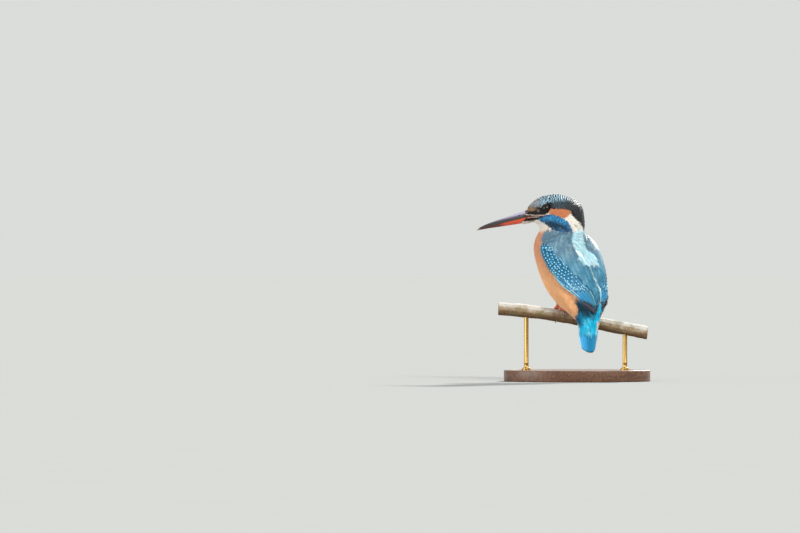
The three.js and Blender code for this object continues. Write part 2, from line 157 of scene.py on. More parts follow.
def inside(x, y, outline, soft):
    """1 well inside an outline and 0 outside it, over an edge of the given softness."""
    corners = np.array(outline, float)
    following = np.roll(corners, -1, axis=0)
    nearest = np.full(len(x), 1e9)
    odd = np.zeros(len(x), bool)
    for (ax, ay), (bx, by) in zip(corners, following):
        run = np.clip(((x - ax) * (bx - ax) + (y - ay) * (by - ay)) / ((bx - ax) ** 2 + (by - ay) ** 2), 0, 1)
        nearest = np.minimum(nearest, np.hypot(x - ax - run * (bx - ax), y - ay - run * (by - ay)))
        if ay != by:
            crossing = ax + (y - ay) * (bx - ax) / (by - ay)
            odd ^= ((ay > y) != (by > y)) & (x < crossing)
    return smooth(-soft, soft, np.where(odd, nearest, -nearest))


def unit(vectors):
    return vectors / np.maximum(np.linalg.norm(vectors, axis=-1, keepdims=True), 1e-9)


def tangent(vectors, normals):
    """The vectors laid flat on the surface, one long."""
    return unit(vectors - normals * np.sum(vectors * normals, axis=-1, keepdims=True))


def paint(red, green, blue):
    """A colour as Blender stores it, from its usual 0 to 255 numbers."""
    channels = [c / 255 for c in (red, green, blue)]
    return tuple(c / 12.92 if c <= 0.04045 else ((c + 0.055) / 1.055) ** 2.4 for c in channels)


# ---------------- what a user would change
def colour(name, description, red, green, blue):
    return FloatVectorProperty(
        name=name, description=description, subtype="COLOR", min=0, max=1, default=paint(red, green, blue)
    )


def length(name, description, millimetres):
    return FloatProperty(
        name=name, description=description, subtype="DISTANCE", unit="LENGTH", precision=5,
        default=millimetres * MM,
    )


class KingfisherSizes(bpy.types.PropertyGroup):
    """Sizes of the coat and of the parts that stand in it."""

    skin_grain: length("Skin grain", "Width of the skin mesh's faces", 0.55)
    foot_grain: length("Foot grain", "Width of the feet's faces", 0.2)
    breast_plume: length("Breast plume", "Length of the soft feathers of the breast and belly", 5.6)
    face_plume: length("Face plume", "Length of the soft feathers of the cheeks and throat", 2.9)
    back_plume: length("Back plume", "Length of the silky feathers down the back", 6.6)
    barb: length("Barb", "Width of one strand of a soft feather", 0.27)
    crown_row: length("Crown row", "Distance between the barred rows of the crown", 1.75)
    crown_step: length("Crown step", "Distance between the feathers of one row of the crown", 1.45)
    covert_row: length("Covert row", "Distance between the rows of small wing feathers", 2.4)
    eye_radius: length("Eye radius", "Radius of the eyeball", 3.55)
    bill_length: length("Bill length", "From the feathers of the forehead to the tip", 37.6)
    camera_distance: length("Camera distance", "From the perch to the camera", 6310.0)
    seed: IntProperty(name="Seed", description="Start of the feathers' small variations", default=7, min=0)


class KingfisherColours(bpy.types.PropertyGroup):
    """Colours of the plumage, the bare parts and the stand."""

    breast: colour("Breast", "Upper breast", 222, 156, 120)
    belly: colour("Belly", "Belly and flanks", 255, 191, 137)
    throat: colour("Throat", "Throat and neck patch", 253, 247, 236)
    ear: colour("Ear coverts", "Orange patch behind the eye", 206, 126, 82)
    crown: colour("Crown", "Ground colour of the crown", 8, 22, 30)
    crown_bar: colour("Crown bars", "Tips of the crown's feathers", 172, 214, 238)
    nape: colour("Nape", "Dark band down the nape", 5, 9, 12)
    lores: colour("Lores", "Dark mask before the eye", 18, 11, 9)
    loral_spot: colour("Loral spot", "Patch between eye and bill", 150, 118, 92)
    malar: colour("Malar", "Blue stripe under the cheek", 4, 78, 132)
    malar_bar: colour("Malar bars", "Tips of the malar feathers", 74, 178, 232)
    mantle: colour("Mantle", "Greyer feathers at the top of the shoulders", 102, 136, 156)
    scapular: colour("Scapulars", "Grey-blue shoulder feathers", 66, 140, 172)
    covert: colour("Coverts", "Small feathers of the wing", 26, 116, 158)
    covert_spot: colour("Covert spots", "Tips of the small wing feathers", 178, 232, 246)
    secondary: colour("Secondaries", "Outer vanes of the long wing feathers", 46, 146, 198)
    primary: colour("Primaries", "Wing tips", 60, 66, 80)
    azure: colour("Azure", "Stripe down the back", 186, 240, 255)
    rump: colour("Rump", "Rump and upper tail coverts", 0, 206, 252)
    tail: colour("Tail", "Tail feathers", 16, 162, 224)
    upper_bill: colour("Upper bill", "Upper mandible", 13, 11, 13)
    gape: colour("Gape", "Bare lines from the bill to under the eye", 206, 178, 166)
    lower_bill: colour("Lower bill", "Lower mandible of a female", 214, 78, 40)
    foot: colour("Feet", "Scaled skin of the toes", 214, 66, 44)
    claw: colour("Claws", "Horn of the claws", 92, 70, 62)
    bark: colour("Bark", "Weathered bark", 146, 126, 100)
    wood: colour("Stand wood", "Oiled wood of the base", 92, 58, 36)
    brass: colour("Brass", "Rods of the stand", 196, 158, 92)


def sizes():
    return bpy.context.scene.kingfisher_sizes


def mm(name):
    """One of the sizes, in millimetres."""
    return getattr(sizes(), name) / MM


def tone(name):
    """One of the colours, as an array."""
    return np.array(getattr(bpy.context.scene.kingfisher_colours, name))


# ---------------- meshes
def deselect():
    if bpy.context.object and bpy.context.object.mode != "OBJECT":
        bpy.ops.object.mode_set(mode="OBJECT")
    bpy.ops.object.select_all(action="DESELECT")


def activate(piece):
    deselect()
    piece.select_set(True)
    bpy.context.view_layer.objects.active = piece


def apply_modifier(piece, kind, **settings):
    """Add a modifier with these settings and apply it."""
    activate(piece)
    modifier = piece.modifiers.new(kind.title(), kind)
    for name, value in settings.items():
        setattr(modifier, name, value)
    bpy.ops.object.modifier_apply(modifier=modifier.name)


def coordinates(mesh):
    flat = np.empty(len(mesh.vertices) * 3, np.float32)
    mesh.vertices.foreach_get("co", flat)
    return flat.reshape(-1, 3).astype(float)


def set_coordinates(mesh, points):
    mesh.vertices.foreach_set("co", points.astype(np.float32).ravel())
    mesh.update()


def bird_points(piece):
    """A piece's vertices in millimetres, with heights over the perch's axis."""
    return coordinates(piece.data) / MM - PERCH_HEIGHT * UP


def metres(points):
    """The bird's millimetres as the frame's metres."""
    return (points + PERCH_HEIGHT * UP) * MM


def set_bird_points(piece, points):
    set_coordinates(piece.data, metres(points))


def new_piece(name, points, faces):
    """A mesh from points in the bird's millimetres and faces that all have the same number of corners."""
    mesh = bpy.data.meshes.new(name)
    corners = faces.shape[1]
    mesh.vertices.add(len(points))
    mesh.vertices.foreach_set("co", metres(points).astype(np.float32).ravel())
    mesh.loops.add(faces.size)
    mesh.loops.foreach_set("vertex_index", faces.astype(np.int32).ravel())
    mesh.polygons.add(len(faces))
    mesh.polygons.foreach_set("loop_start", np.arange(0, faces.size, corners, dtype=np.int32))
    mesh.polygons.foreach_set("use_smooth", np.ones(len(faces), bool))
    mesh.update(calc_edges=True)
    piece = bpy.data.objects.new(name, mesh)
    bpy.context.scene.collection.objects.link(piece)
    return piece


def set_colour(piece, name, values):
    """Store a colour and a strength on each vertex."""
    attribute = piece.data.attributes.new(name, "FLOAT_COLOR", "POINT")
    full = np.ones((len(values), 4), np.float32)
    full[:, : values.shape[1]] = values
    attribute.data.foreach_set("color", full.ravel())


def set_vector(piece, name, values):
    attribute = piece.data.attributes.new(name, "FLOAT_VECTOR", "POINT")
    attribute.data.foreach_set("vector", values.astype(np.float32).ravel())


def copy_of_nodes(name, nodes):
    """One mesh from copies of CAD nodes, with their loose triangles merged."""
    copies = []
    for node in nodes:
        copied = bpy.data.objects.new(node + "_copy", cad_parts[node].data.copy())
        bpy.context.scene.collection.objects.link(copied)
        copies.append(copied)
    deselect()
    for copied in copies:
        copied.select_set(True)
    bpy.context.view_layer.objects.active = copies[0]
    if len(copies) > 1:
        bpy.ops.object.join()
    piece = copies[0]
    edit(piece)
    bpy.ops.mesh.remove_doubles(threshold=1e-6)
    finish_edit()
    piece.name = name
    piece.data.name = name
    piece.data.materials.clear()
    return piece


def place(piece, slot, material, *nodes):
    """Let a piece ride on the bird, take its finish, and stand for CAD nodes. The slot is not used."""
    piece.data.materials.clear()
    piece.data.materials.append(material)
    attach(piece, "root")
    if nodes:
        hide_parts(*nodes)
    return piece


def edit(piece, select_all=True):
    activate(piece)
    bpy.ops.object.mode_set(mode="EDIT")
    bpy.ops.mesh.select_all(action="SELECT" if select_all else "DESELECT")


def finish_edit():
    bpy.ops.object.mode_set(mode="OBJECT")


def settle(name):
    """Name the new primitive and put its own place into its mesh, so that it sits at the origin unturned."""
    piece = bpy.context.object
    piece.name = name
    bpy.ops.object.transform_apply(location=True, rotation=True, scale=True)
    return piece


def bird_matrix(origin, x_axis, y_axis, z_axis):
    """The matrix from a piece's own millimetres to the frame's metres."""
    turned = Matrix.Identity(4)
    for column, axis in enumerate((x_axis, y_axis, z_axis)):
        for row in range(3):
            turned[row][column] = axis[row] * MM
    turned.translation = metres(origin)
    return turned


# ---------------- shader maths
class Wire:
    """One shader socket. Arithmetic on numbers adds Math nodes."""

    def __init__(self, tree, socket=None):
        self.tree = tree
        self.socket = socket

    def node(self, kind, settings=None, sockets=None, output=0):
        """Add a node, set its settings, then its sockets' values or links, and return one output."""
        made = self.tree.nodes.new(kind)
        for name, value in (settings or {}).items():
            if name == "stops":
                ramp = made.color_ramp
                while len(ramp.elements) < len(value):
                    ramp.elements.new(0.5)
                for element, (position, shade) in zip(ramp.elements, value):
                    element.position = position
                    element.color = (*shade, 1.0)
            else:
                setattr(made, name, value)
        for name, value in (sockets or {}).items():
            if isinstance(value, Wire):
                self.tree.links.new(value.socket, made.inputs[name])
            else:
                made.inputs[name].default_value = value
        return Wire(self.tree, made.outputs[output])

    def math(self, operation, *values):
        return self.node("ShaderNodeMath", {"operation": operation}, dict(enumerate(values)))

    def __add__(self, other):
        return self.math("ADD", self, other)

    __radd__ = __add__

    def __sub__(self, other):
        return self.math("SUBTRACT", self, other)

    def __rsub__(self, other):
        return self.math("SUBTRACT", other, self)

    def __mul__(self, other):
        return self.math("MULTIPLY", self, other)

    __rmul__ = __mul__

    def __truediv__(self, other):
        return self.math("DIVIDE", self, other)

    def __pow__(self, other):
        return self.math("POWER", self, other)

    def __abs__(self):
        return self.math("ABSOLUTE", self)

    def wave(self):
        """Sine, from 0 to 1."""
        return self.math("SINE", self) * 0.5 + 0.5

    def fraction(self):
        return self.math("FRACT", self)

    def step(self, start, end):
        """A soft step from 0 at start to 1 at end."""
        return self.node(
            "ShaderNodeMapRange",
            {"interpolation_type": "SMOOTHSTEP"},
            {"Value": self, "From Min": start, "From Max": end},
        )

    def attribute(self, name, output="Color"):
        return self.node("ShaderNodeAttribute", {"attribute_name": name}, output=output)

    def parts(self):
        """The three numbers of a vector."""
        split = self.node("ShaderNodeSeparateXYZ", {}, {0: self}).socket.node
        return [Wire(self.tree, output) for output in split.outputs]

    def blend(self, factor, other):
        """This colour, mixed with another by a factor."""
        if not isinstance(other, Wire):
            other = (*other, 1.0)
        return self.node("ShaderNodeMix", {"data_type": "RGBA"}, {0: factor, 6: self, 7: other}, output=2)

    def ramp(self, *stops):
        """The colour that this number picks from stops, each a place and a colour."""
        return self.node("ShaderNodeValToRGB", {"stops": stops}, {0: self})

    def brightened(self, factor):
        """This colour times a number."""
        return self.node("ShaderNodeVectorMath", {"operation": "SCALE"}, {0: self, "Scale": factor})

    def noise(self, scale, detail=3.0, stretch=(1.0, 1.0, 1.0)):
        """Noise over this vector, which is stretched first."""
        long = self.node("ShaderNodeVectorMath", {"operation": "MULTIPLY"}, {0: self, 1: stretch})
        return long.node("ShaderNodeTexNoise", {}, {"Vector": long, "Scale": scale, "Detail": detail}, "Fac")

    def bump(self, strength, distance):
        """Normals as if this number were a height."""
        sockets = {"Height": self, "Strength": strength, "Distance": distance}
        return self.node("ShaderNodeBump", {}, sockets, "Normal")


def material(name, build, **constants):
    """A material whose constants sit on the shader's own sockets and whose patterns come from build.

    It is made the first time it is asked for, under a name that none of the frame's materials has.
    """
    name = "kingfisher " + name
    if name in bpy.data.materials:
        return bpy.data.materials[name]
    made = bpy.data.materials.new(name)
    made.use_nodes = True
    tree = made.node_tree
    shader = tree.nodes["Principled BSDF"]
    for socket, value in constants.items():
        shader.inputs[socket.replace("_", " ")].default_value = value
    start = Wire(tree)
    places = start.node("ShaderNodeTexCoord", output="Object")
    for socket, wire in build(start, places).items():
        tree.links.new(wire.socket, shader.inputs[socket.replace("_", " ")])
    return made


# ---------------- the markings, shared by skin and coat
# Outlines on the head are how far forward and how high, and on the body degrees from the spine and heights.
CROWN = [
    (27, 79.0), (15, 79.4), (8, 78.2), (3, 78.7), (-3, 78.8), (-7, 78.0), (-9.2, 76.9), (-9.9, 74.2),
    (-12.6, 71), (-15.3, 68), (-18, 63), (-20, 60.5), (-34, 60), (-34, 95), (27, 95),
]
LORAL_SPOT = [(27, 76.8), (18, 76.8), (14.4, 77.8), (13.6, 78.8), (15, 79.8), (27, 79.4)]
LORES = [(27, 74.2), (9.5, 74.0), (6.5, 75.6), (7.2, 80.6), (12, 81.4), (15, 80.4), (27, 79.6)]
EAR = [
    (7.5, 78.3), (3, 78.9), (-3, 79.0), (-7, 78.2), (-9.2, 77.1), (-9.3, 75), (-5.6, 71.3), (-3.7, 71.4),
    (0, 72.6), (2, 73.5), (6, 74.6),
]
NECK_PATCH = [
    (-5.7, 71.5), (-7.8, 74.3), (-9.5, 74.2), (-12.6, 71), (-15.3, 68), (-18, 63), (-20, 60.5), (-13.6, 60.5),
    (-11, 63.5), (-9, 65.7), (-6.4, 68),
]
MALAR = [
    (14.5, 72.2), (13.3, 72.2), (10, 73.6), (6, 74.4), (2, 73.7), (-1.8, 71.8), (-5.5, 69.6), (-7.6, 67.2),
    (-9.8, 64.6), (-9.4, 62), (-1, 62.2), (2, 64.0), (5.4, 66.2), (10.8, 69.4), (14.5, 71.0),
]
GAPE = [(26, 74.9), (9.5, 74.1), (11.5, 71.4), (13.4, 70.7), (26, 69.5)]
GAPE_LINES = (
    [(26, 74.8), (17, 74.0), (8.8, 74.0), (8.8, 73.3), (17, 73.3), (26, 74.0)],
    [(23, 72.5), (14, 73.0), (13.4, 72.5), (23, 71.8)],
)
STRIPE = [
    (27, 66), (28, 58), (24, 52), (22, 47), (21, 42), (14, 38.5), (8, 40), (4, 38), (-1, 33), (-2, 27),
    (-6, 21), (-13, 16), (-20, 11), (-30, 4), (-60, 2), (-52, 8), (-34, 13), (-24, 17.5), (-15, 23), (-9, 29),
    (-8, 35), (-14, 40), (-26, 39), (-24, 46), (-16, 52), (-13, 58), (-14, 66),
]
LINE = [(6, 41), (1, 36), (-1, 30), (-4, 25), (-8, 20), (-15, 16), (-26, 11.5), (-36, 7)]
SCAPULARS = [
    (-16, 66), (110, 66), (111, 61), (111, 57), (100, 54.5), (86, 53.5), (74, 52), (63, 46), (52, 37.5),
    (45, 33.5), (38, 28.5), (30, 24), (22, 19.5), (10, 15), (-6, 12), (-6, 21), (-2, 27), (-1, 33), (0, 38),
    (-16, 41),
]
DARK_TIPS = [(60, 12), (30, 9.6), (8, 8), (-12, 7), (-12, 2), (60, 2), (68, 7)]


def inside_wing(angle, height, side, margin=0.0):
    """1 on a folded wing and 0 beside it; the margin, in degrees, makes it narrower."""
    outward = angle * side
    outer = np.interp(height, WING_OUTER[:, 0], WING_OUTER[:, 1])
    if side < 0:
        outer = outer + 14 * smooth(24, 4, height)
    inner = np.interp(height, WING_INNER[side][:, 0], WING_INNER[side][:, 1])
    across = smooth(-2, 2, outward - inner - margin) * smooth(-2, 2, outer - margin - outward)
    return across * smooth(3.0, 5.0, height) * smooth(61.5, 59.5, height)


def wing_mask(points, margin=0.0):
    angle, height = body_axes(points)
    return np.maximum(inside_wing(angle, height, 1, margin), inside_wing(angle, height, -1, margin))


def beside_rump(points, angle, height):
    """1 on the rump and on its flanks under the wings, which get painted shade, and 0 on the orange belly and
    under the tail.
    """
    edge = np.interp(height, [-8, -4, 8, 12, 16], [-1.4, -0.8, -0.4, -1.5, -3.5])
    left = smooth(edge - 0.6, edge + 0.6, points @ ALONG) * smooth(142, 128, angle) * (angle > 0)
    left = left * (1 - smooth(0, -4, height) * smooth(15.6, 14.4, points[:, 1]))
    right = smooth(76, 68, -angle) * (angle <= 0)
    return np.maximum(left, right)


def layered(under, mask, over):
    """A colour over another by a mask for each point."""
    return under + (over - under) * mask[:, None]


def markings(points):
    """The bird's colour at each point of its surface."""
    forward, aside, height = head_axes(points)
    angle, _ = body_axes(points)
    streaks = np.sin(forward * 5.1 + height * 1.3) * np.sin(aside * 4.7 - height * 0.9)
    border = np.interp(forward, [-18, -10, -2, 4, 7, 9], [63.6, 62.8, 63.4, 64.0, 63.2, 61.2]) + 0.7 * streaks
    on_body = smooth(0.7, -0.7, height - border)

    orange = layered(tone("belly"), smooth(24, 52, height), tone("breast"))
    # Whiter low on the flanks, most on the right: partly pale feathers, partly a painted highlight of
    # backlight.
    pale = np.maximum(0.2 * smooth(90, 60, angle), 0.85 * smooth(-112, -92, angle) * (angle < 0))
    orange = layered(orange, smooth(8, -6, height) * pale, tone("throat"))
    front = smooth(2, 9, forward) * smooth(57, 66, height)
    base = layered(orange, np.maximum(smooth(62, 66, height), front), tone("throat"))

    def patch(outline, soft):
        return inside(forward, height, outline, soft)

    def spot(place, start, end):
        return smooth(start, end, np.hypot(forward - place[0], height - place[1]))

    crown = patch(CROWN, 0.4)
    head = base
    for mask, name in (
        (patch(MALAR, 0.35), "malar"),
        (patch(NECK_PATCH, 0.4), "throat"),
        (0.7 * spot((-12.6, 65.7), 1.1, 0.3), "loral_spot"),
        (patch(EAR, 0.45), "ear"),
        (crown, "crown"),
        (crown * np.maximum(smooth(83, 79, height), smooth(-8, -14, forward)), "nape"),
        (patch(LORES, 0.3), "lores"),
        (patch(LORAL_SPOT, 0.5) * smooth(13.8, 19.5, forward), "loral_spot"),
        (patch(GAPE, 0.25), "lores"),
        *((patch(outline, 0.18), "gape") for outline in GAPE_LINES),
        (spot((8.8, 78.6), 3.4, 2.8), "nape"),
        # A painted highlight: a faint pale grey spot before and below the eye.
        (0.2 * spot((14.3, 77), 1.3, 0.3), "throat"),
    ):
        head = layered(head, mask, tone(name))

    wing_edge = np.interp(height, WING_OUTER[:, 0], WING_OUTER[:, 1])
    back = smooth(wing_edge + 3, wing_edge - 3, np.abs(angle)) * smooth(8, 14, height)
    body = layered(orange, back * smooth(67, 65, height), tone("scapular"))
    beside = beside_rump(points, angle, height)
    # Painted shade: the flanks under the wings, beside the rump, at a third of the coverts' colour.
    body = layered(body, beside * smooth(-2, 4, height) * smooth(15, 12, height), 0.3 * tone("covert"))
    for side in (1, -1):
        body = layered(body, inside_wing(angle, height, side), tone("covert"))
    grey_blue = layered(tone("scapular"), smooth(38, 52, height), tone("mantle"))
    body = layered(body, inside(np.abs(angle), height, SCAPULARS, 0.8), grey_blue)
    tips = inside(np.abs(angle), height, DARK_TIPS, 0.6)
    body = layered(body, tips * wing_mask(points, -2), tone("primary"))
    azure = layered(tone("azure"), smooth(30, 8, height), tone("rump"))
    body = layered(body, inside(angle, height, STRIPE, 0.8), azure)
    rump = beside * smooth(5.5, 2.5, height)
    body = layered(body, rump, tone("rump"))
    # Painted shade: the rump's lowest part on one side darkened to navy, a third of the tail's colour.
    painted_navy_shade = rump * smooth(4.5, 1.0, points @ ALONG) * smooth(-7, 0, height)
    body = layered(body, painted_navy_shade, 0.3 * tone("tail"))

    return layered(head, on_body, body) * (1 + 0.06 * streaks[:, None])


# ---------------- standing feathers on the skin
AROUND = list(itertools.product((-1, 0, 1), repeat=3))  # steps from a cell to itself and its neighbours


class Surface:
    """The outside of some pieces, in the bird's millimetres, with soft normals."""

    def __init__(self, *pieces, soften=6, extra=(), wanted=None):
        """The extra pieces only count where wanted, a test of points, is true."""
        points = []
        triangles = []
        count = 0
        for piece in (*pieces, *extra):
            mesh = piece.data
            mesh.calc_loop_triangles()
            flat = np.empty(len(mesh.loop_triangles) * 3, np.int32)
            mesh.loop_triangles.foreach_get("vertices", flat)
            flat = flat.reshape(-1, 3)
            places = bird_points(piece)
            if piece in extra:
                flat = flat[wanted(places[flat].mean(axis=1))]
            points.append(places)
            triangles.append(flat + count)
            count += len(mesh.vertices)
        self.points = np.concatenate(points)
        self.triangles = np.concatenate(triangles)
        corners = self.points[self.triangles]
        face = np.cross(corners[:, 1] - corners[:, 0], corners[:, 2] - corners[:, 0])
        self.areas = np.linalg.norm(face, axis=1) / 2
        normals = np.zeros_like(self.points)
        for _ in range(soften):
            for k in range(3):
                np.add.at(normals, self.triangles[:, k], face)
            normals = unit(normals)
            face = normals[self.triangles].sum(axis=1) * self.areas[:, None]
        self.normals = normals
        self.tree = BVHTree.FromPolygons(self.points.tolist(), self.triangles.tolist())

    def normals_at(self, hit, face):
        """Soft normals at points that lie on known triangles."""
        corners = self.points[self.triangles[face]]
        far = np.linalg.norm(corners - hit[:, None], axis=2)
        weight = 1 / (far + 0.05)
        return unit((self.normals[self.triangles[face]] * weight[..., None]).sum(axis=1))

    def nearest(self, points):
        """The nearest place on the surface to each point, and the normal there."""
        found = [self.tree.find_nearest(p) for p in points.tolist()]
        hit = np.array([f[0] for f in found])
        return hit, self.normals_at(hit, np.array([f[2] for f in found]))

    def at(self, angles, heights):
        """The surface at angles from the spine and heights, seen from outside."""
        hits = []
        faces = []
        for angle, height in zip(np.ravel(angles), np.ravel(heights)):
            middle, way = spine_ray(float(angle), float(height))
            place, _, face, _ = self.tree.ray_cast(Vector(middle + OUTSIDE * way), Vector(-way))
            if place is None:
                place, _, face, _ = self.tree.find_nearest(Vector(middle))
            hits.append(place)
            faces.append(face)
        hit = np.array(hits)
        return hit, self.normals_at(hit, np.array(faces))

    def scatter(self, wanted, spacing, random):
        """Points at least a spacing apart where wanted is 1, thinner where it is less."""
        middles = self.points[self.triangles].mean(axis=1)
        weight = self.areas * (wanted(middles, unit(self.normals[self.triangles].sum(axis=1))) > 0.02)
        total = weight.sum()
        if total == 0:
            raise RuntimeError("No skin is left for these feathers")
        picks = random.choice(len(weight), int(total * 5 / spacing**2), p=weight / total)
        split = np.sort(random.random((len(picks), 2)), axis=1)
        shares = np.stack([split[:, 0], split[:, 1] - split[:, 0], 1 - split[:, 1]], axis=1)
        points = (self.points[self.triangles[picks]] * shares[..., None]).sum(axis=1)
        normals = unit((self.normals[self.triangles[picks]] * shares[..., None]).sum(axis=1))
        chosen = random.random(len(points)) < wanted(points, normals)
        points, normals = points[chosen], normals[chosen]
        cells = {}
        kept = []
        square = spacing * spacing
        for i, (x, y, z) in enumerate(points.tolist()):
            cx, cy, cz = int(x // spacing), int(y // spacing), int(z // spacing)
            near = (place for dx, dy, dz in AROUND for place in cells.get((cx + dx, cy + dy, cz + dz), ()))
            if not any((px - x) ** 2 + (py - y) ** 2 + (pz - z) ** 2 < square for px, py, pz in near):
                cells.setdefault((cx, cy, cz), []).append((x, y, z))
                kept.append(i)
        return points[kept], normals[kept]


def lie_of(points, normals):
    """The way the feathers lie: back over the head, down the neck and body, and in along the wings."""
    angle, height = body_axes(points)
    down = smooth(75, 60, height)[:, None]
    cheek = (0.35 * smooth(80, 72, height))[:, None]
    on_head = -FORWARD * (1 - down) - UP * np.maximum(down, cheek)
    on_body = np.array([0.0, 0.45, -1.0])
    way = on_head + (on_body - on_head) * smooth(66, 58, height)[:, None]
    tail = unit(np.array([0.0, TAIL_PLACE, -24.0]) - points)
    way = way + (tail - way) * smooth(1, -5, height)[:, None]
    for side in (1, -1):
        tip = spine_ray(6 * side, 2.0)
        target = tip[0] + 9 * tip[1]
        wing = inside_wing(angle, height, side)[:, None]
        way = unit(way) * (1 - wing) + unit(target - points) * wing
    return tangent(way, normals)


PIECE_LIMIT = 200000  # triangles of one piece


class Coat:
    """Feathers gathered for one piece: their points, faces, colours and own coordinates."""

    def __init__(self):
        self.gathered = [[] for _ in range(6)]
        self.outs = []
        self.count = 0

    def add(self, points, faces, tints, marks, vanes, patches, outs=()):
        """Points for each feather, one feather's faces, and colours and coordinates for each feather."""
        feathers, corners = points.shape[:2]
        starts = self.count + np.arange(feathers)[:, None, None] * corners
        tints = np.broadcast_to(tints, points.shape)
        marks = np.repeat(marks, corners, axis=0)
        for rows, added in zip(self.gathered, (points, faces[None] + starts, tints, marks, vanes, patches)):
            rows.append(added.reshape(-1, added.shape[-1]))
        self.outs.extend(outs)
        self.count += feathers * corners

    def make(self, name, slot, finish, *nodes):
        """The finished piece, with its unwrap."""
        points, faces, tints, marks, vanes, patches = (np.concatenate(rows) for rows in self.gathered)
        if len(faces) >= PIECE_LIMIT:
            raise RuntimeError(f"{name} has {len(faces)} triangles, which is too many for one piece")
        piece = new_piece(name, points, faces)
        set_colour(piece, "tint", tints)
        set_colour(piece, "mark", marks)
        set_vector(piece, "vane", vanes)
        unwrap = piece.data.uv_layers.new(name="OFBake")
        unwrap.data.foreach_set("uv", patches[faces.ravel()].astype(np.float32).ravel())
        if len(self.outs):
            piece.data.normals_split_custom_set_from_vertices(np.array(self.outs).tolist())
        return place(piece, slot, finish, *nodes)


PATCH = 0.003  # size of a feather's patch on the unwrap, whose whole side is 1
SKULL_RADIUS = 15.0
CROWN_TO_TAIL = 125.0  # over the crown and down the body to the tail's tip


def unwrapped(points):
    """Where points lie on an unwrap of the skin: round the body, and down from the crown."""
    height = points[:, 2]
    over = points - (HEAD_CENTRE + SKULL_HEIGHT * UP)
    polar = np.arctan2(np.hypot(over[:, 0], over[:, 1]), over[:, 2])
    below = SKULL_RADIUS * math.pi / 2 + SKULL_HEIGHT - height
    down = np.where(height > SKULL_HEIGHT, polar * SKULL_RADIUS, below)
    angle, _ = body_axes(points)
    return 0.01 + 0.97 * np.stack([(angle + 180) / 360, 1 - down / CROWN_TO_TAIL], axis=1)


def patches_for(roots, across, along, patch):
    """Each feather's patch, at its root's place on the unwrap."""
    corner = unwrapped(roots)[:, None]
    return corner + np.stack([across * 0.5 + 0.5, along], axis=-1) * patch


def trail(surface, roots, normals, lie, reach, lift, sag=0.1, rise=0.0):
    """Start, bend and end of each feather's middle line, which follows the skin and rises to its lift."""
    reach = reach[:, None]
    middle, middle_normals = surface.nearest(roots + lie * reach * 0.5 + normals * rise)
    end, end_normals = surface.nearest(roots + lie * reach + normals * (rise - reach * 0.04))
    start = roots - normals * sag
    middle = middle + middle_normals * lift[:, None] * 0.62
    end = end + end_normals * lift[:, None]
    return start, 2 * middle - (start + end) / 2, end, end_normals


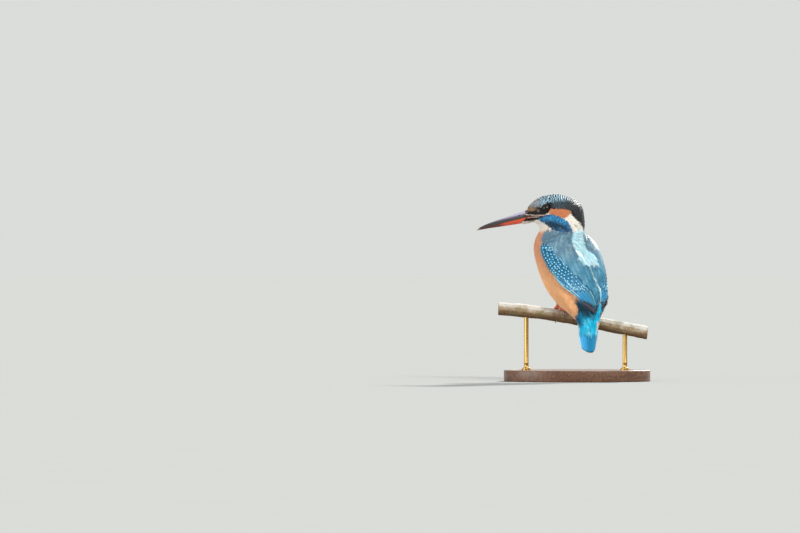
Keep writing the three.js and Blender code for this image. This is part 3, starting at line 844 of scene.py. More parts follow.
def plumes(coat, surface, roots, normals, lie, reach, width, lift, random, tints=None, strands=6,
           fan=0.42, rings=(0.0, 0.34, 0.7), ragged=0.22, rise=0.0):
    """Soft feathers: fans of tapered three-sided strands that follow the skin and wear its markings."""
    feathers = len(roots)
    tints = shown_colours(roots, lie, reach) if tints is None else tints
    width = np.broadcast_to(width, feathers)
    lift = np.broadcast_to(lift, feathers)
    start, bend, end, end_normals = trail(surface, roots, normals, lie, reach, lift, rise=rise)
    side = unit(np.cross(normals, lie))
    spread = np.linspace(-1, 1, strands)
    spread = spread[None] + random.uniform(-0.5, 0.5, (feathers, strands)) / strands
    shorter = 1 - 0.2 * spread**2 - ragged * random.random((feathers, strands))
    wander = random.uniform(-0.5, 0.5, (feathers, strands)) * (0.35 * lift)[:, None]
    aside = np.sin(fan * spread) * reach[:, None] * shorter
    tips = start[:, None] + (end - start)[:, None] * (shorter * np.cos(fan * spread))[..., None]
    tips = tips + side[:, None] * aside[..., None] + end_normals[:, None] * wander[..., None]
    bends = start[:, None] + (bend - start)[:, None] * (shorter * 0.5 + 0.5)[..., None]
    bends = bends + side[:, None] * (aside * 0.42)[..., None]
    starts = start[:, None] + side[:, None] * (spread * width[:, None] * 0.9)[..., None]

    s = np.array([*rings, 1.0])[None, None, :, None]
    lines = (1 - s) ** 2 * starts[:, :, None] + 2 * s * (1 - s) * bends[:, :, None] + s**2 * tips[:, :, None]
    out = unit(normals[:, None] * 0.5 + end_normals[:, None] * 0.5)[:, :, None]
    thick = np.array([0.7 + 0.6 * r if r < 0.5 else 1.15 - 0.55 * r for r in rings])
    half = (width[:, None] * random.uniform(0.75, 1.2, (feathers, strands)) * 0.5)[:, :, None, None]
    bodies = lines[:, :, :-1]
    across = side[:, None, None] * half * thick[None, None, :, None]
    up = out * half * thick[None, None, :, None] * 0.75
    sections = np.stack([bodies + across - up * 0.4, bodies - across - up * 0.4, bodies + up], axis=3)
    ring_count = len(rings)
    sections = sections.reshape(feathers * strands, ring_count * 3, 3)
    points = np.concatenate([sections, lines[:, :, -1].reshape(-1, 1, 3)], axis=1)

    faces = [(0, 1, 2)]
    for r in range(ring_count - 1):
        for k in range(3):
            a, b = 3 * r + k, 3 * r + (k + 1) % 3
            faces += [(a, a + 3, b), (b, a + 3, b + 3)]
    last = 3 * (ring_count - 1)
    faces += [(last + k, 3 * ring_count, last + (k + 1) % 3) for k in range(3)]

    along = np.append(np.repeat(rings, 3), 1.0)
    along = np.broadcast_to(along, (feathers * strands, len(along)))
    over = np.broadcast_to(spread.reshape(-1, 1), along.shape)
    chance = np.repeat(random.random(feathers), strands)[:, None]
    vanes = np.stack([along, over, np.broadcast_to(chance, along.shape)], axis=-1)
    patches = patches_for(np.repeat(roots, strands, axis=0), over, along, PATCH)
    shade = 1 + random.uniform(-0.09, 0.09, (feathers * strands, 1, 1))
    tints = np.repeat(tints, strands, axis=0)[:, None] * shade
    # Soft feathers are shaded like the body they cover, and only a little like separate strands.
    lean = 0.4 * side[:, None, None] * np.ones((1, strands, ring_count, 1))
    facing = np.broadcast_to(out, lean.shape)
    outs = np.stack([facing + lean, facing - lean, facing], axis=3).reshape(feathers * strands, -1, 3)
    ends = np.repeat(end_normals, strands, axis=0)[:, None]
    outs = unit(np.concatenate([outs, ends], axis=1))
    marks = np.zeros((feathers * strands, 4))
    coat.add(points, np.array(faces), tints, marks, vanes, patches, outs.reshape(-1, 3))


def lens_faces(rows, columns):
    """Triangles of a thin closed vane: a grid above, and one below that shares its border."""
    above = np.arange(rows * columns).reshape(rows, columns)
    below = above.copy()
    inner = (rows - 2) * (columns - 2)
    below[1:-1, 1:-1] = rows * columns + np.arange(inner).reshape(rows - 2, columns - 2)
    faces = []
    for grid, flip in ((above, False), (below, True)):
        a, b = grid[:-1, :-1].ravel(), grid[:-1, 1:].ravel()
        c, d = grid[1:, 1:].ravel(), grid[1:, :-1].ravel()
        half = np.concatenate([np.stack([a, b, c], 1), np.stack([a, c, d], 1)])
        faces.append(half[:, ::-1] if flip else half)
    return np.concatenate(faces)


def vanes(coat, lines, outs, half_width, random, tints, mark, strength, columns=5, camber=0.12, thick=0.12,
          tip_curve=0.3, root_width=0.45, full_at=0.45, tip_width=0.62, jag=0.05, patch=PATCH):
    """Firm feathers: thin vanes along given middle lines, with a shaft, a rounded tip and split edges.

    The mark is the colour of their bar, spot or edge, which the strength lets show.
    """
    feathers, rows = lines.shape[:2]
    half_width = np.broadcast_to(half_width, feathers)
    ways = unit(np.gradient(lines, axis=1))
    sides = unit(np.cross(outs, ways))
    s = np.linspace(0, 1, rows)
    v = np.linspace(-1, 1, columns)
    swell = root_width + (1 - root_width) * smooth(0, full_at, s)
    swell = swell * (1 - (1 - tip_width) * smooth(full_at, 1, s))
    reach = np.linalg.norm(lines[:, -1] - lines[:, 0], axis=1)
    half = half_width[:, None] * swell[None]
    backward = -tip_curve * (v**2)[None, None] * (s**2)[None, :, None] * half_width[:, None, None]
    split = jag * np.where(np.arange(columns) % 2, 1.0, -0.6)[None, None] * (s**6)[None, :, None]
    split = split + jag * random.uniform(-1, 1, (feathers, rows, columns)) * (s**3)[None, :, None]
    shift = backward + split * reach[:, None, None]
    across = v[None, None] * half[..., None]
    shaft = 0.25 * thick * np.exp(-((v / 0.2) ** 2))[None, None]
    rise = -camber * (v**2)[None, None] * half[..., None] + shaft
    grid = lines[:, :, None] + sides[:, :, None] * across[..., None] + ways[:, :, None] * shift[..., None]
    grid = grid + outs[:, :, None] * rise[..., None]
    below = grid[:, 1:-1, 1:-1] - outs[:, 1:-1, None] * thick
    points = np.concatenate([grid.reshape(feathers, -1, 3), below.reshape(feathers, -1, 3)], axis=1)

    u_grid, v_grid = np.meshgrid(s, v, indexing="ij")
    along = np.concatenate([u_grid.ravel(), u_grid[1:-1, 1:-1].ravel()])
    over = np.concatenate([v_grid.ravel(), v_grid[1:-1, 1:-1].ravel()])
    along = np.broadcast_to(along, (feathers, len(along)))
    over = np.broadcast_to(over, along.shape)
    chance = np.broadcast_to(random.random(feathers)[:, None], along.shape)
    own = np.stack([along, over, chance], axis=-1)
    patches = patches_for(lines[:, 0], over, along, patch)
    shade = 1 + random.uniform(-0.08, 0.08, (feathers, 1, 1))
    tints = np.broadcast_to(tints, (feathers, 3))
    marks = np.empty((feathers, 4))
    marks[:, :3] = mark
    marks[:, 3] = strength
    coat.add(points, lens_faces(rows, columns), tints[:, None] * shade, marks, own, patches)


def short_lines(surface, roots, normals, lie, reach, lift, rows, sag=0.05):
    """Middle lines and outward directions of short firm feathers."""
    lift = np.broadcast_to(lift, len(roots))
    start, bend, end, end_normals = trail(surface, roots, normals, lie, reach, lift, sag)
    s = np.linspace(0, 1, rows)[None, :, None]
    lines = (1 - s) ** 2 * start[:, None] + 2 * s * (1 - s) * bend[:, None] + s**2 * end[:, None]
    outs = unit(normals[:, None] * (1 - s) + end_normals[:, None] * s)
    return lines, outs


def shown_colours(roots, lie, reach, share=0.6):
    """The markings where a feather shows, part of the way from its root to its tip."""
    return markings(roots + lie * (reach * share)[:, None])


def varied(random, low, high, like):
    """A random factor for each of some feathers."""
    return random.uniform(low, high, len(like))


# ---------------- finishes
def plumage(name, roughness, bar=None, edge=0.0, barbs=0.12, shaft=0.0, sheen=0.0, root_down_and_shade=0.72):
    """A feather finish: the markings' colour, barbs, a shaft, and a pale bar or edge from the mark."""

    def build(start, places):
        tint = start.attribute("tint")
        along, across, chance = start.attribute("vane", "Vector").parts()
        mark = start.attribute("mark")
        strength = start.attribute("mark", "Alpha")
        barb = ((along * 7 - abs(across) * 2.4 + chance * 5) * 9).wave()
        speckle = places.noise(900, 2)
        # Darker towards each feather's root: partly grey down, partly painted shade of overlapping feathers.
        shade = along.step(0, 0.75) * (1 - root_down_and_shade) + root_down_and_shade
        shade = shade * (1 - barbs * barb) * (0.86 + 0.28 * speckle)
        base = tint.brightened(shade)
        if bar:
            middle, high, wide = bar
            gone = ((along - middle) / high) ** 2 + (across / wide) ** 2
            ragged = gone + 0.35 * (barb - 0.5)
            base = base.blend((1 - ragged.step(0.55, 1.15)) * strength, mark)
        if edge:
            rim = abs(across).step(1 - edge, 1 - edge * 0.35)
            base = base.blend(rim * strength, mark)
        if shaft:
            line = 1 - abs(across).step(0.0, 0.09)
            base = base.brightened(1 - shaft * line)
        rough = roughness + 0.16 * (speckle - 0.5)
        return {"Base_Color": base, "Roughness": rough, "Normal": (barb + speckle * 0.5).bump(0.22, 0.0001)}

    return material(name, build, Sheen_Weight=sheen, Sheen_Roughness=0.4, Specular_IOR_Level=0.35)


def soft_finish():
    return plumage("soft plumage", 0.7, barbs=0.04, sheen=0.3, root_down_and_shade=0.9)


def silk_finish():
    return plumage("silky plumage", 0.42, barbs=0.05, sheen=0.25, root_down_and_shade=0.88)


def barred_finish():
    return plumage("barred plumage", 0.5, bar=(0.91, 0.15, 1.9), barbs=0.2, root_down_and_shade=0.5, sheen=0.08)


def skin_build(start, places):
    tint = start.attribute("tint")
    fine = places.noise(1400, 3)
    scute, foot, _ = start.attribute("scutes").parts()
    ring = (scute * 2 * math.pi).wave() ** 0.5
    warm = tint.brightened(0.7 + 0.35 * ring)
    scaled = warm.blend((1 - fine.step(0.3, 0.62)) * 0.25, paint(250, 214, 196))
    base = tint.brightened(0.72 + 0.2 * fine).blend(foot, scaled)
    rough = 0.78 - 0.36 * foot + 0.1 * fine
    return {"Base_Color": base, "Roughness": rough, "Normal": (ring * foot + 0.4 * fine).bump(0.6, 0.0002)}


# ---------------- skin and feet
FLESH = ("head", "neck", "trunk", "wing_left", "wing_right")
STUMP_END = -8.0  # height at which the skin stops inside the tail feathers
BILL_START = 23.2  # how far forward the skin reaches round the bill
LEGS = ("leg_left", "leg_right")
FEET = {"left": -14.6, "right": 6.5}  # places along the perch


def coat_depth(points):
    """How far the skin lies inside the feathers' outline."""
    forward, aside, height = head_axes(points)
    angle, _ = body_axes(points)
    depth = 0.9 + 0.9 * smooth(68, 58, height)
    depth = depth - 0.5 * smooth(8, 16, forward) * smooth(66, 74, height)
    depth = depth - 0.75 * smooth(6.5, 3.2, from_eye(forward, height)) * smooth(4, 6, np.abs(aside))
    for side in (1, -1):
        depth = depth - 0.75 * inside_wing(angle, height, side, 2)
    return depth * (1 - 0.3 * smooth(-4, -8, height))


def cut_off(piece, place, way):
    """Take off what lies beyond a place in a direction, and close the cut."""
    edit(piece)
    bpy.ops.mesh.bisect(plane_co=metres(place), plane_no=way, use_fill=True, clear_outer=True)
    finish_edit()


def remesh(piece, grain, iterations):
    """Give a piece even faces of a size in millimetres, and smooth it."""
    apply_modifier(piece, "REMESH", mode="VOXEL", voxel_size=grain * MM)
    apply_modifier(piece, "SMOOTH", factor=0.5, iterations=iterations)


def swollen_copy(name, nodes, by):
    """A copy of CAD nodes that is larger all round."""
    piece = copy_of_nodes(name, nodes)
    surface = Surface(piece, soften=1)
    set_bird_points(piece, surface.points + surface.normals * by)
    return piece


def make_skin():
    skin = swollen_copy("skin", FLESH, 0.2)
    # The roots of the tail and the bill fill their slots in the trunk and the head.
    stump = swollen_copy("stump", ["tail"], 0.9)
    roots = swollen_copy("roots", ["bill_upper", "bill_lower"], 0.55)
    cut_off(roots, head_place(BILL_START, 0, 0), FORWARD)
    activate(skin)
    stump.select_set(True)
    roots.select_set(True)
    bpy.ops.object.join()
    cut_off(skin, STUMP_END * UP, -UP)
    remesh(skin, mm("skin_grain"), 7)
    surface = Surface(skin)
    depth = coat_depth(surface.points) + 0.2
    set_bird_points(skin, surface.points - surface.normals * depth[:, None])
    apply_modifier(skin, "SMOOTH", factor=0.5, iterations=3)

    feet = copy_of_nodes("feet", LEGS)
    remesh(feet, mm("foot_grain"), 4)
    surface = Surface(feet, soften=2)
    rows, _ = scutes(surface.points)
    raised = 0.09 * np.abs(np.sin(rows * math.pi)) + 0.05
    set_bird_points(feet, surface.points + surface.normals * raised[:, None])

    apply_modifier(skin, "BOOLEAN", operation="UNION", solver="MANIFOLD", object=feet)
    bpy.data.objects.remove(feet)
    points = bird_points(skin)
    rows, bare = scutes(points)
    colours = layered(markings(points), bare, tone("foot"))
    set_colour(skin, "tint", colours)
    set_vector(skin, "scutes", np.stack([rows, bare, 0 * bare], axis=1))
    activate(skin)
    bpy.ops.object.shade_smooth()
    place(skin, "plumage_breast", material("skin", skin_build, Specular_IOR_Level=0.4), *FLESH, *LEGS)


def scutes(points):
    """Rows of scales round the toes and shins, and 1 on the bare feet."""
    along, across, height = perch_axes(points)
    from_axis = np.hypot(across, height)
    beside = np.min([np.abs(along - place) for place in FEET.values()], axis=0)
    on_toe = smooth(7.3, 6.9, from_axis) * smooth(7, 6, beside)
    on_shin = smooth(1.9, 1.6, np.minimum(beside, np.hypot(across, beside))) * smooth(11, 10, height)
    on_shin = on_shin * smooth(4, 5, from_axis) * smooth(10.5, 9, from_axis)
    rows = np.where(from_axis < 6.6, np.arctan2(across, height) * 5.6 / 0.85, height / 0.9)
    return rows, np.maximum(on_toe, on_shin)


# ---------------- eyes, bill and claws
EYE_PLACE = (8.6, 7.3, 78.7)  # forward, aside and high
EYE_LOOK = 14.0  # degrees that the eyes look forward of straight aside
CORNEA = 0.22  # how far the clear front stands out
LID_RADIUS = 2.42
LID_THICKNESS = 0.24
LID_OUT = 2.6  # from the middle of the eyeball out to the lids


def eye_matrix(side):
    """Own axes of an eye: z looks out of the head, y up."""
    forward, aside, height = EYE_PLACE
    look = math.radians(EYE_LOOK)
    out = LEFT * side * math.cos(look) + FORWARD * math.sin(look)
    return bird_matrix(head_place(forward, aside * side, height), np.cross(UP, out), UP, out)


def eye_build(start, places):
    radius, _, _ = start.attribute("iris", "Vector").parts()
    streak = places.noise(2600, 3)
    iris = (radius + 0.08 * (streak - 0.5)).ramp(
        (0.0, paint(3, 2, 2)), (0.5, paint(4, 3, 3)), (0.56, paint(30, 16, 10)), (0.9, paint(12, 7, 5))
    )
    return {"Base_Color": iris, "Roughness": 0.04 + 0.04 * streak}


def rim_build(start, places):
    fine = places.noise(2400, 3)
    base = fine.ramp((0.3, paint(5, 4, 4)), (0.7, paint(16, 13, 12)))
    return {"Base_Color": base, "Roughness": 0.6 + 0.2 * fine, "Normal": fine.bump(0.5, 0.0001)}


def make_eyes():
    finish = material("eye", eye_build, Specular_IOR_Level=0.3)
    rim = material("bare rim", rim_build, Specular_IOR_Level=0.3)
    radius = mm("eye_radius")
    for side, name in SIDE_NAMES.items():
        deselect()
        bpy.ops.mesh.primitive_uv_sphere_add(segments=64, ring_count=40, radius=radius)
        eye = settle(f"eyeball_{name}")
        local = coordinates(eye.data)
        polar = np.degrees(np.arccos(np.clip(local[:, 2] / radius, -1, 1)))
        bulge = CORNEA * smooth(48, 12, polar)
        set_coordinates(eye.data, local * (1 + bulge / radius)[:, None])
        set_vector(eye, "iris", np.stack([polar / 52, 0 * polar, 0 * polar], axis=1))
        eye.data.transform(eye_matrix(side))
        bpy.ops.object.shade_smooth()
        place(eye, "eye", finish, f"eye_{name}")

        deselect()
        bpy.ops.mesh.primitive_torus_add(
            major_segments=64, minor_segments=14, major_radius=LID_RADIUS, minor_radius=LID_THICKNESS,
            location=(0, 0, LID_OUT),
        )
        lid = settle(f"eyelids_{name}")
        local = coordinates(lid.data)
        around = np.arctan2(local[:, 1], local[:, 0])
        corner = np.abs(np.cos(around)) ** 6
        local[:, 0] *= 1 + 0.1 * corner
        local[:, 1] *= 0.97
        local[:, 2] -= 0.35 * corner
        beads = 0.05 * np.cos(around * 26)
        local[:, 2] += beads * (local[:, 2] > LID_OUT)
        set_coordinates(lid.data, local)
        lid.data.transform(eye_matrix(side))
        bpy.ops.object.shade_smooth()
        place(lid, "eye", rim)


BILL_PITCH = math.radians(13.4)
BILL_ROOT = head_place(24.6, 0, 72.5)
BILL_FORWARD = FORWARD * math.cos(BILL_PITCH) - UP * math.sin(BILL_PITCH)
BILL_UP = np.cross(BILL_FORWARD, LEFT)
BILL_HALF_WIDTHS = {1: 4.6, -1: 4.6 * 0.9}  # of the upper and the lower half
BILL_DEPTHS = {1: 4.7, -1: 3.8}
BILL_SHORTER = {1: 0.0, -1: 0.6}
BILL_LOWERED = {1: 0.24, -1: 0.04}
BILL_DROOP = 0.55  # how far the tips bend down
BILL_STEPS = 40
EMBEDDED = 8.0  # how far the bill reaches into the head
NOSTRIL = {"scale": (1.7, 0.6, 0.36), "place": (3.4, 3.35, 2.1), "turn": (0.5, 0.12, 0.1)}


def mandible(name, side):
    """One half of the bill: half a round, extruded and tapered to the tip, with a ridge along its back."""
    long = mm("bill_length") - BILL_SHORTER[side]
    deselect()
    bpy.ops.mesh.primitive_circle_add(vertices=48, radius=1, fill_type="NGON", rotation=(0, math.pi / 2, 0))
    piece = settle(name)
    edit(piece)
    bpy.ops.mesh.bisect(plane_co=(0, 0, 0), plane_no=(0, 0, side), use_fill=False, clear_inner=True)
    bpy.ops.mesh.select_all(action="SELECT")
    at = -EMBEDDED
    bpy.ops.transform.translate(value=(at, 0, 0))
    width = 1.0
    depth = 1.0
    for k in range(BILL_STEPS + 1):
        x = -EMBEDDED + (long + EMBEDDED) * (1 - (1 - k / BILL_STEPS) ** 1.25)
        left = min(1.0, max(0.0, 1 - x / long))
        swollen = 1 + 0.05 * math.exp(-((x / 5) ** 2))
        next_width = BILL_HALF_WIDTHS[side] * left**0.93 * swollen + 0.22
        next_depth = BILL_DEPTHS[side] * left**0.74 + 0.2
        if k:
            bpy.ops.mesh.extrude_region_move(TRANSFORM_OT_translate={"value": (x - at, 0, 0)})
        bpy.ops.transform.resize(value=(1, next_width / width, next_depth / depth), center_override=(x, 0, 0))
        at = x
        width = next_width
        depth = next_depth
    finish_edit()
    local = coordinates(piece.data)
    left = np.clip(1 - local[:, 0] / long, 0, 1)
    edge = np.clip(local[:, 2] * side, 0, None) / (BILL_DEPTHS[side] * left**0.74 + 0.3)
    local[:, 1] *= 1 - 0.3 * smooth(0.35, 1.0, edge) * smooth(0, 0.3, left)
    local[:, 2] += -BILL_DROOP * smooth(0.7, 1, local[:, 0] / long) - BILL_LOWERED[side]
    set_coordinates(piece.data, local)
    face_outwards(piece)
    return piece


def face_outwards(piece):
    edit(piece)
    bpy.ops.mesh.normals_make_consistent(inside=False)
    finish_edit()


def cut_nostril(piece, side):
    deselect()
    (forward, aside, up), (roll, tilt, yaw) = NOSTRIL["place"], NOSTRIL["turn"]
    bpy.ops.mesh.primitive_uv_sphere_add(
        segments=24, ring_count=12, radius=1, location=(forward, side * aside, up),
        rotation=(side * roll, tilt, side * yaw), scale=NOSTRIL["scale"],
    )
    cutter = settle("nostril")
    apply_modifier(piece, "BOOLEAN", operation="DIFFERENCE", solver="EXACT", object=cutter)
    bpy.data.objects.remove(cutter)


def bill_build_upper(start, places):
    along, up, _ = start.attribute("along", "Vector").parts()
    grain = places.noise(500, 4, (1, 1, 3))
    # Black horn with a painted lilac-grey sky reflection along the culmen, fading towards the cutting edge.
    horn_and_painted_reflection = (up + 0.2 * (grain - 0.5)).ramp(
        (0.0, paint(164, 158, 182)), (0.35, paint(84, 78, 94)), (0.7, tone("upper_bill"))
    )
    base = horn_and_painted_reflection.blend(along.step(0.88, 0.965) * 0.85, paint(222, 208, 184))
    return {"Base_Color": base, "Roughness": 0.3 + 0.18 * grain, "Normal": grain.bump(0.25, 0.0002)}


def bill_build_lower(start, places):
    along, up, _ = start.attribute("along", "Vector").parts()
    grain = places.noise(420, 4, (1, 1, 3))
    warm = tone("lower_bill")
    base = (along + 0.08 * (grain - 0.5)).ramp(
        (0.0, 1.12 * warm), (0.4, warm), (0.52, paint(58, 26, 20)), (0.62, paint(20, 15, 16))
    )
    base = base.blend(up.step(0.55, 1.0) * 0.7, paint(40, 22, 20)).blend(0.25 * grain, warm)
    return {"Base_Color": base, "Roughness": 0.32 + 0.2 * grain, "Normal": grain.bump(0.25, 0.0002)}


def make_bill():
    matrix = bird_matrix(BILL_ROOT, BILL_FORWARD, LEFT, BILL_UP)
    for side, name, build in ((1, "upper", bill_build_upper), (-1, "lower", bill_build_lower)):
        piece = mandible(f"mandible_{name}", side)
        if name == "upper":
            cut_nostril(piece, 1)
            cut_nostril(piece, -1)
        local = coordinates(piece.data)
        along = np.clip(local[:, 0] / mm("bill_length"), 0, 1)
        up = 1 - np.clip(np.abs(local[:, 2]) / 3.0, 0, 1)
        set_vector(piece, "along", np.stack([along, up, 0 * up], axis=1))
        piece.data.transform(matrix)
        activate(piece)
        bpy.ops.object.shade_smooth_by_angle(angle=math.radians(48))
        finish = material(f"{name} bill", build, Coat_Weight=0.25, Coat_Roughness=0.25)
        place(piece, f"bill_{name}", finish, f"bill_{name}")


def claw_build(start, places):
    grain = places.noise(900, 3)
    base = grain.ramp((0.3, 0.6 * tone("claw")), (0.7, paint(150, 128, 116)))
    return {"Base_Color": base, "Roughness": 0.3 + 0.2 * grain, "Normal": grain.bump(0.2, 0.0001)}


CLAW_SWELL = 0.15
CLAW_GROWTH = 1.22  # each claw is larger than its node, about its tip, so that it reaches into the toe


def make_claws():
    finish = material("claws", claw_build, Coat_Weight=0.3)
    toes = copy_of_nodes("toes", LEGS)
    legs = Surface(toes, soften=0)
    bpy.data.objects.remove(toes)
    for foot in FEET:
        for toe in ("hallux", "inner", "middle", "outer"):
            node = f"claw_{foot}_{toe}"
            claw = swollen_copy(f"horn_{foot}_{toe}", [node], CLAW_SWELL)
            points = bird_points(claw)
            tip = points[np.argmax(np.linalg.norm(points - legs.nearest(points)[0], axis=1))]
            set_bird_points(claw, tip + (points - tip) * CLAW_GROWTH)
            apply_modifier(claw, "SUBSURF", levels=2, render_levels=2)
            activate(claw)
            bpy.ops.object.shade_smooth()
            place(claw, "claw", finish, node)


# ---------------- the soft coat
def found(name):
    piece = bpy.data.objects.get(name)
    if piece is None:
        raise RuntimeError(f"Make the piece {name} before the feathers that grow on it")
    return piece


def skin_surface():
    return Surface(found("skin"))


def random_for(name):
    """A generator of the family's own, so that families don't change each other."""
    return np.random.default_rng(sizes().seed * 1000 + sum(map(ord, name)))


# How far forward the head's feathers reach onto the bill, by height.
FEATHERED_TO = np.array([
    (68.9, 27.2), (69.8, 26.6), (71.5, 24.6), (72.8, 22.6), (73.6, 22.2), (74.4, 24.7), (78, 25),
])


def from_eye(forward, height):
    return np.hypot(forward - EYE_PLACE[0], height - EYE_PLACE[2])


def head_masks(points):
    """1 on the crown, on the malar stripe, outside the eyes and on the bill."""
    forward, aside, height = head_axes(points)
    crown = inside(forward, height, CROWN, 0.3)
    malar = inside(forward, height, MALAR, 0.3)
    eye = smooth(2.5, 2.9, from_eye(forward, height))
    eye = np.maximum(eye, smooth(5.5, 4.5, np.abs(aside)))
    edge = np.interp(height, FEATHERED_TO[:, 0], FEATHERED_TO[:, 1])
    return crown, malar, eye, smooth(edge - 0.3, edge + 0.3, forward)


def near_bill(points):
    forward, _, _ = head_axes(points)
    return (forward > 20.3) & (forward < 28)


def head_surface():
    """The skin and the root of the bill, on which the shortest feathers grow too."""
    halves = [found(f"mandible_{name}") for name in ("upper", "lower")]
    return Surface(found("skin"), extra=halves, wanted=near_bill)


def body_surface():
    """The skin and the tail below it, for the feathers that run out over the tail."""
    stump = copy_of_nodes("stump", ["tail"])
    apply_modifier(stump, "REMESH", mode="VOXEL", voxel_size=mm("skin_grain") * MM)
    surface = Surface(found("skin"), extra=[stump], wanted=lambda points: points[:, 2] < STUMP_END)
    bpy.data.objects.remove(stump)
    return surface


def bare_feet(points):
    _, bare = scutes(points)
    return 1 - smooth(0.2, 0.6, bare)


def stripe_mask(points):
    angle, height = body_axes(points)
    return inside(angle, height, STRIPE, 0.5) * smooth(65, 63, height)


def rump_mask(points):
    angle, height = body_axes(points)
    return beside_rump(points, angle, height) * smooth(9, 6, height)


def make_face_feathers():
    surface = head_surface()
    random = random_for("face")
    coat = Coat()

    def soft_face(points, normals):
        crown, malar, eye, bill = head_masks(points)
        return (1 - crown) * (1 - malar) * eye * (1 - bill) * smooth(61, 65, points[:, 2])

    def finest(points, normals):
        """Round the eye, and between it and the bill."""
        forward, _, height = head_axes(points)
        _, _, eye, _ = head_masks(points)
        front = soft_face(points, normals) * smooth(9, 11, forward) * smooth(68.6, 69.2, height)
        return np.maximum(front, eye * smooth(4.6, 4.2, from_eye(forward, height)))

    roots, normals = surface.scatter(finest, 0.5, random)
    forward, _, height = head_axes(roots)
    reach = 1.7 * varied(random, 0.85, 1.15, roots) * (1 - 0.3 * smooth(5, 4, from_eye(forward, height)))
    lift = 0.3 * varied(random, 0.8, 1.2, roots)
    lie = lie_of(roots, normals)
    plumes(coat, surface, roots, normals, lie, reach, 0.16, lift, random, strands=4, rings=(0.0, 0.5))

    roots, normals = surface.scatter(soft_face, 0.7, random)
    forward, _, height = head_axes(roots)
    tiny = smooth(9, 15, forward) * smooth(70, 74, height)
    near_eye = smooth(6, 3.4, from_eye(forward, height))
    low = smooth(70, 63, height)
    at_gape = smooth(8, 10, forward) * smooth(69.5, 70.5, height) * smooth(76.5, 75.5, height)
    reach = mm("face_plume") * (1 - 0.5 * np.maximum(tiny, near_eye) + 0.5 * low - 0.18 * at_gape)
    reach = reach * varied(random, 0.85, 1.15, roots)
    lift = np.where(height < 70, 0.8, 0.62) * (1 - 0.45 * np.maximum(tiny, near_eye) - 0.3 * at_gape)
    width = mm("barb") * (0.8 - 0.25 * tiny)
    lie = lie_of(roots, normals)
    plumes(coat, surface, roots, normals, lie, reach, width, lift, random, rings=(0.0, 0.5))
    coat.make("coat_face", "plumage_head", soft_finish())


# Angles in the head: from the bill over the crown to the first and last row, and from a row's
# middle to its end.
FIRST_ROW = math.radians(2)
LAST_ROW = math.radians(212)
ROW_END = math.radians(88)


def crown_rows(surface, row, apart):
    """Roots in rows over the crown from the forehead to the nape, and in each row from side to side."""
    centre = HEAD_CENTRE + SKULL_HEIGHT * UP

    def reached(over, aside):
        way = math.cos(aside) * (math.cos(over) * FORWARD + math.sin(over) * UP) + math.sin(aside) * LEFT
        hit, _, _, far = surface.tree.ray_cast(Vector(centre + OUTSIDE * way), Vector(-way))
        return hit, OUTSIDE - far if hit else 0

    over = FIRST_ROW
    k = 0
    while over < LAST_ROW:
        _, radius = reached(over, 0.0)
        finer = 1 - 0.3 * float(smooth(13, 19, radius * math.cos(over)))
        for side in (1, -1):
            aside = apart * (0.5 * side if k % 2 else min(side, 0)) / radius
            while abs(aside) < ROW_END:
                hit, far = reached(over, aside)
                if not hit:
                    break
                yield np.array(hit)
                aside += side * apart * finer / far
        over += row * finer / radius
        k += 1


def make_crown_feathers():
    """Rows of small scales from the forehead over the crown and down the nape, each with a pale bar."""
    surface = head_surface()
    random = random_for("crown")
    coat = Coat()
    roots = np.array(list(crown_rows(surface, mm("crown_row"), mm("crown_step"))))
    roots, normals = surface.nearest(roots + random.uniform(-0.12, 0.12, roots.shape))
    crown, _, eye, bill = head_masks(roots)
    kept = crown * eye * (1 - bill) > 0.5
    roots, normals = roots[kept], normals[kept]
    forward, _, height = head_axes(roots)
    fine = smooth(13, 19, forward)
    reach = 3.2 * (1 - 0.4 * fine) * (1 + 0.3 * smooth(-8, -16, forward)) * varied(random, 0.92, 1.08, roots)
    lift = 0.66 * (1 - 0.35 * fine)
    half = 1.1 * (1 - 0.3 * fine) * varied(random, 0.9, 1.1, roots)
    lie = lie_of(roots, normals)
    lines, outs = short_lines(surface, roots, normals, lie, reach, lift, 6)
    band = np.interp(forward, [-10, 0, 6, 10, 14], [84.8, 84.0, 83.2, 81.4, 79.8])
    bright = (0.3 + 0.7 * smooth(-6, 2, forward)) * (0.12 + 0.88 * smooth(-1.6, 1.2, height - band))
    bright = bright * (0.2 + 0.8 * smooth(-17, -10, forward)) * varied(random, 0.6, 1.0, roots)
    bars = layered(tone("crown_bar"), 0.8 * fine, paint(214, 212, 214))
    ground = layered(shown_colours(roots, lie, reach), 0.6 * fine, paint(136, 138, 144))
    vanes(coat, lines, outs, half, random, ground, bars, bright, columns=7, camber=0.24, thick=0.08,
          tip_curve=0.4, tip_width=0.84, jag=0.06)
    coat.make("coat_crown", "plumage_head", barred_finish())


MALAR_SHADOW = (0.1, 0.42, 0.32)  # what is left of the stripe's red, green and blue along its lower edge


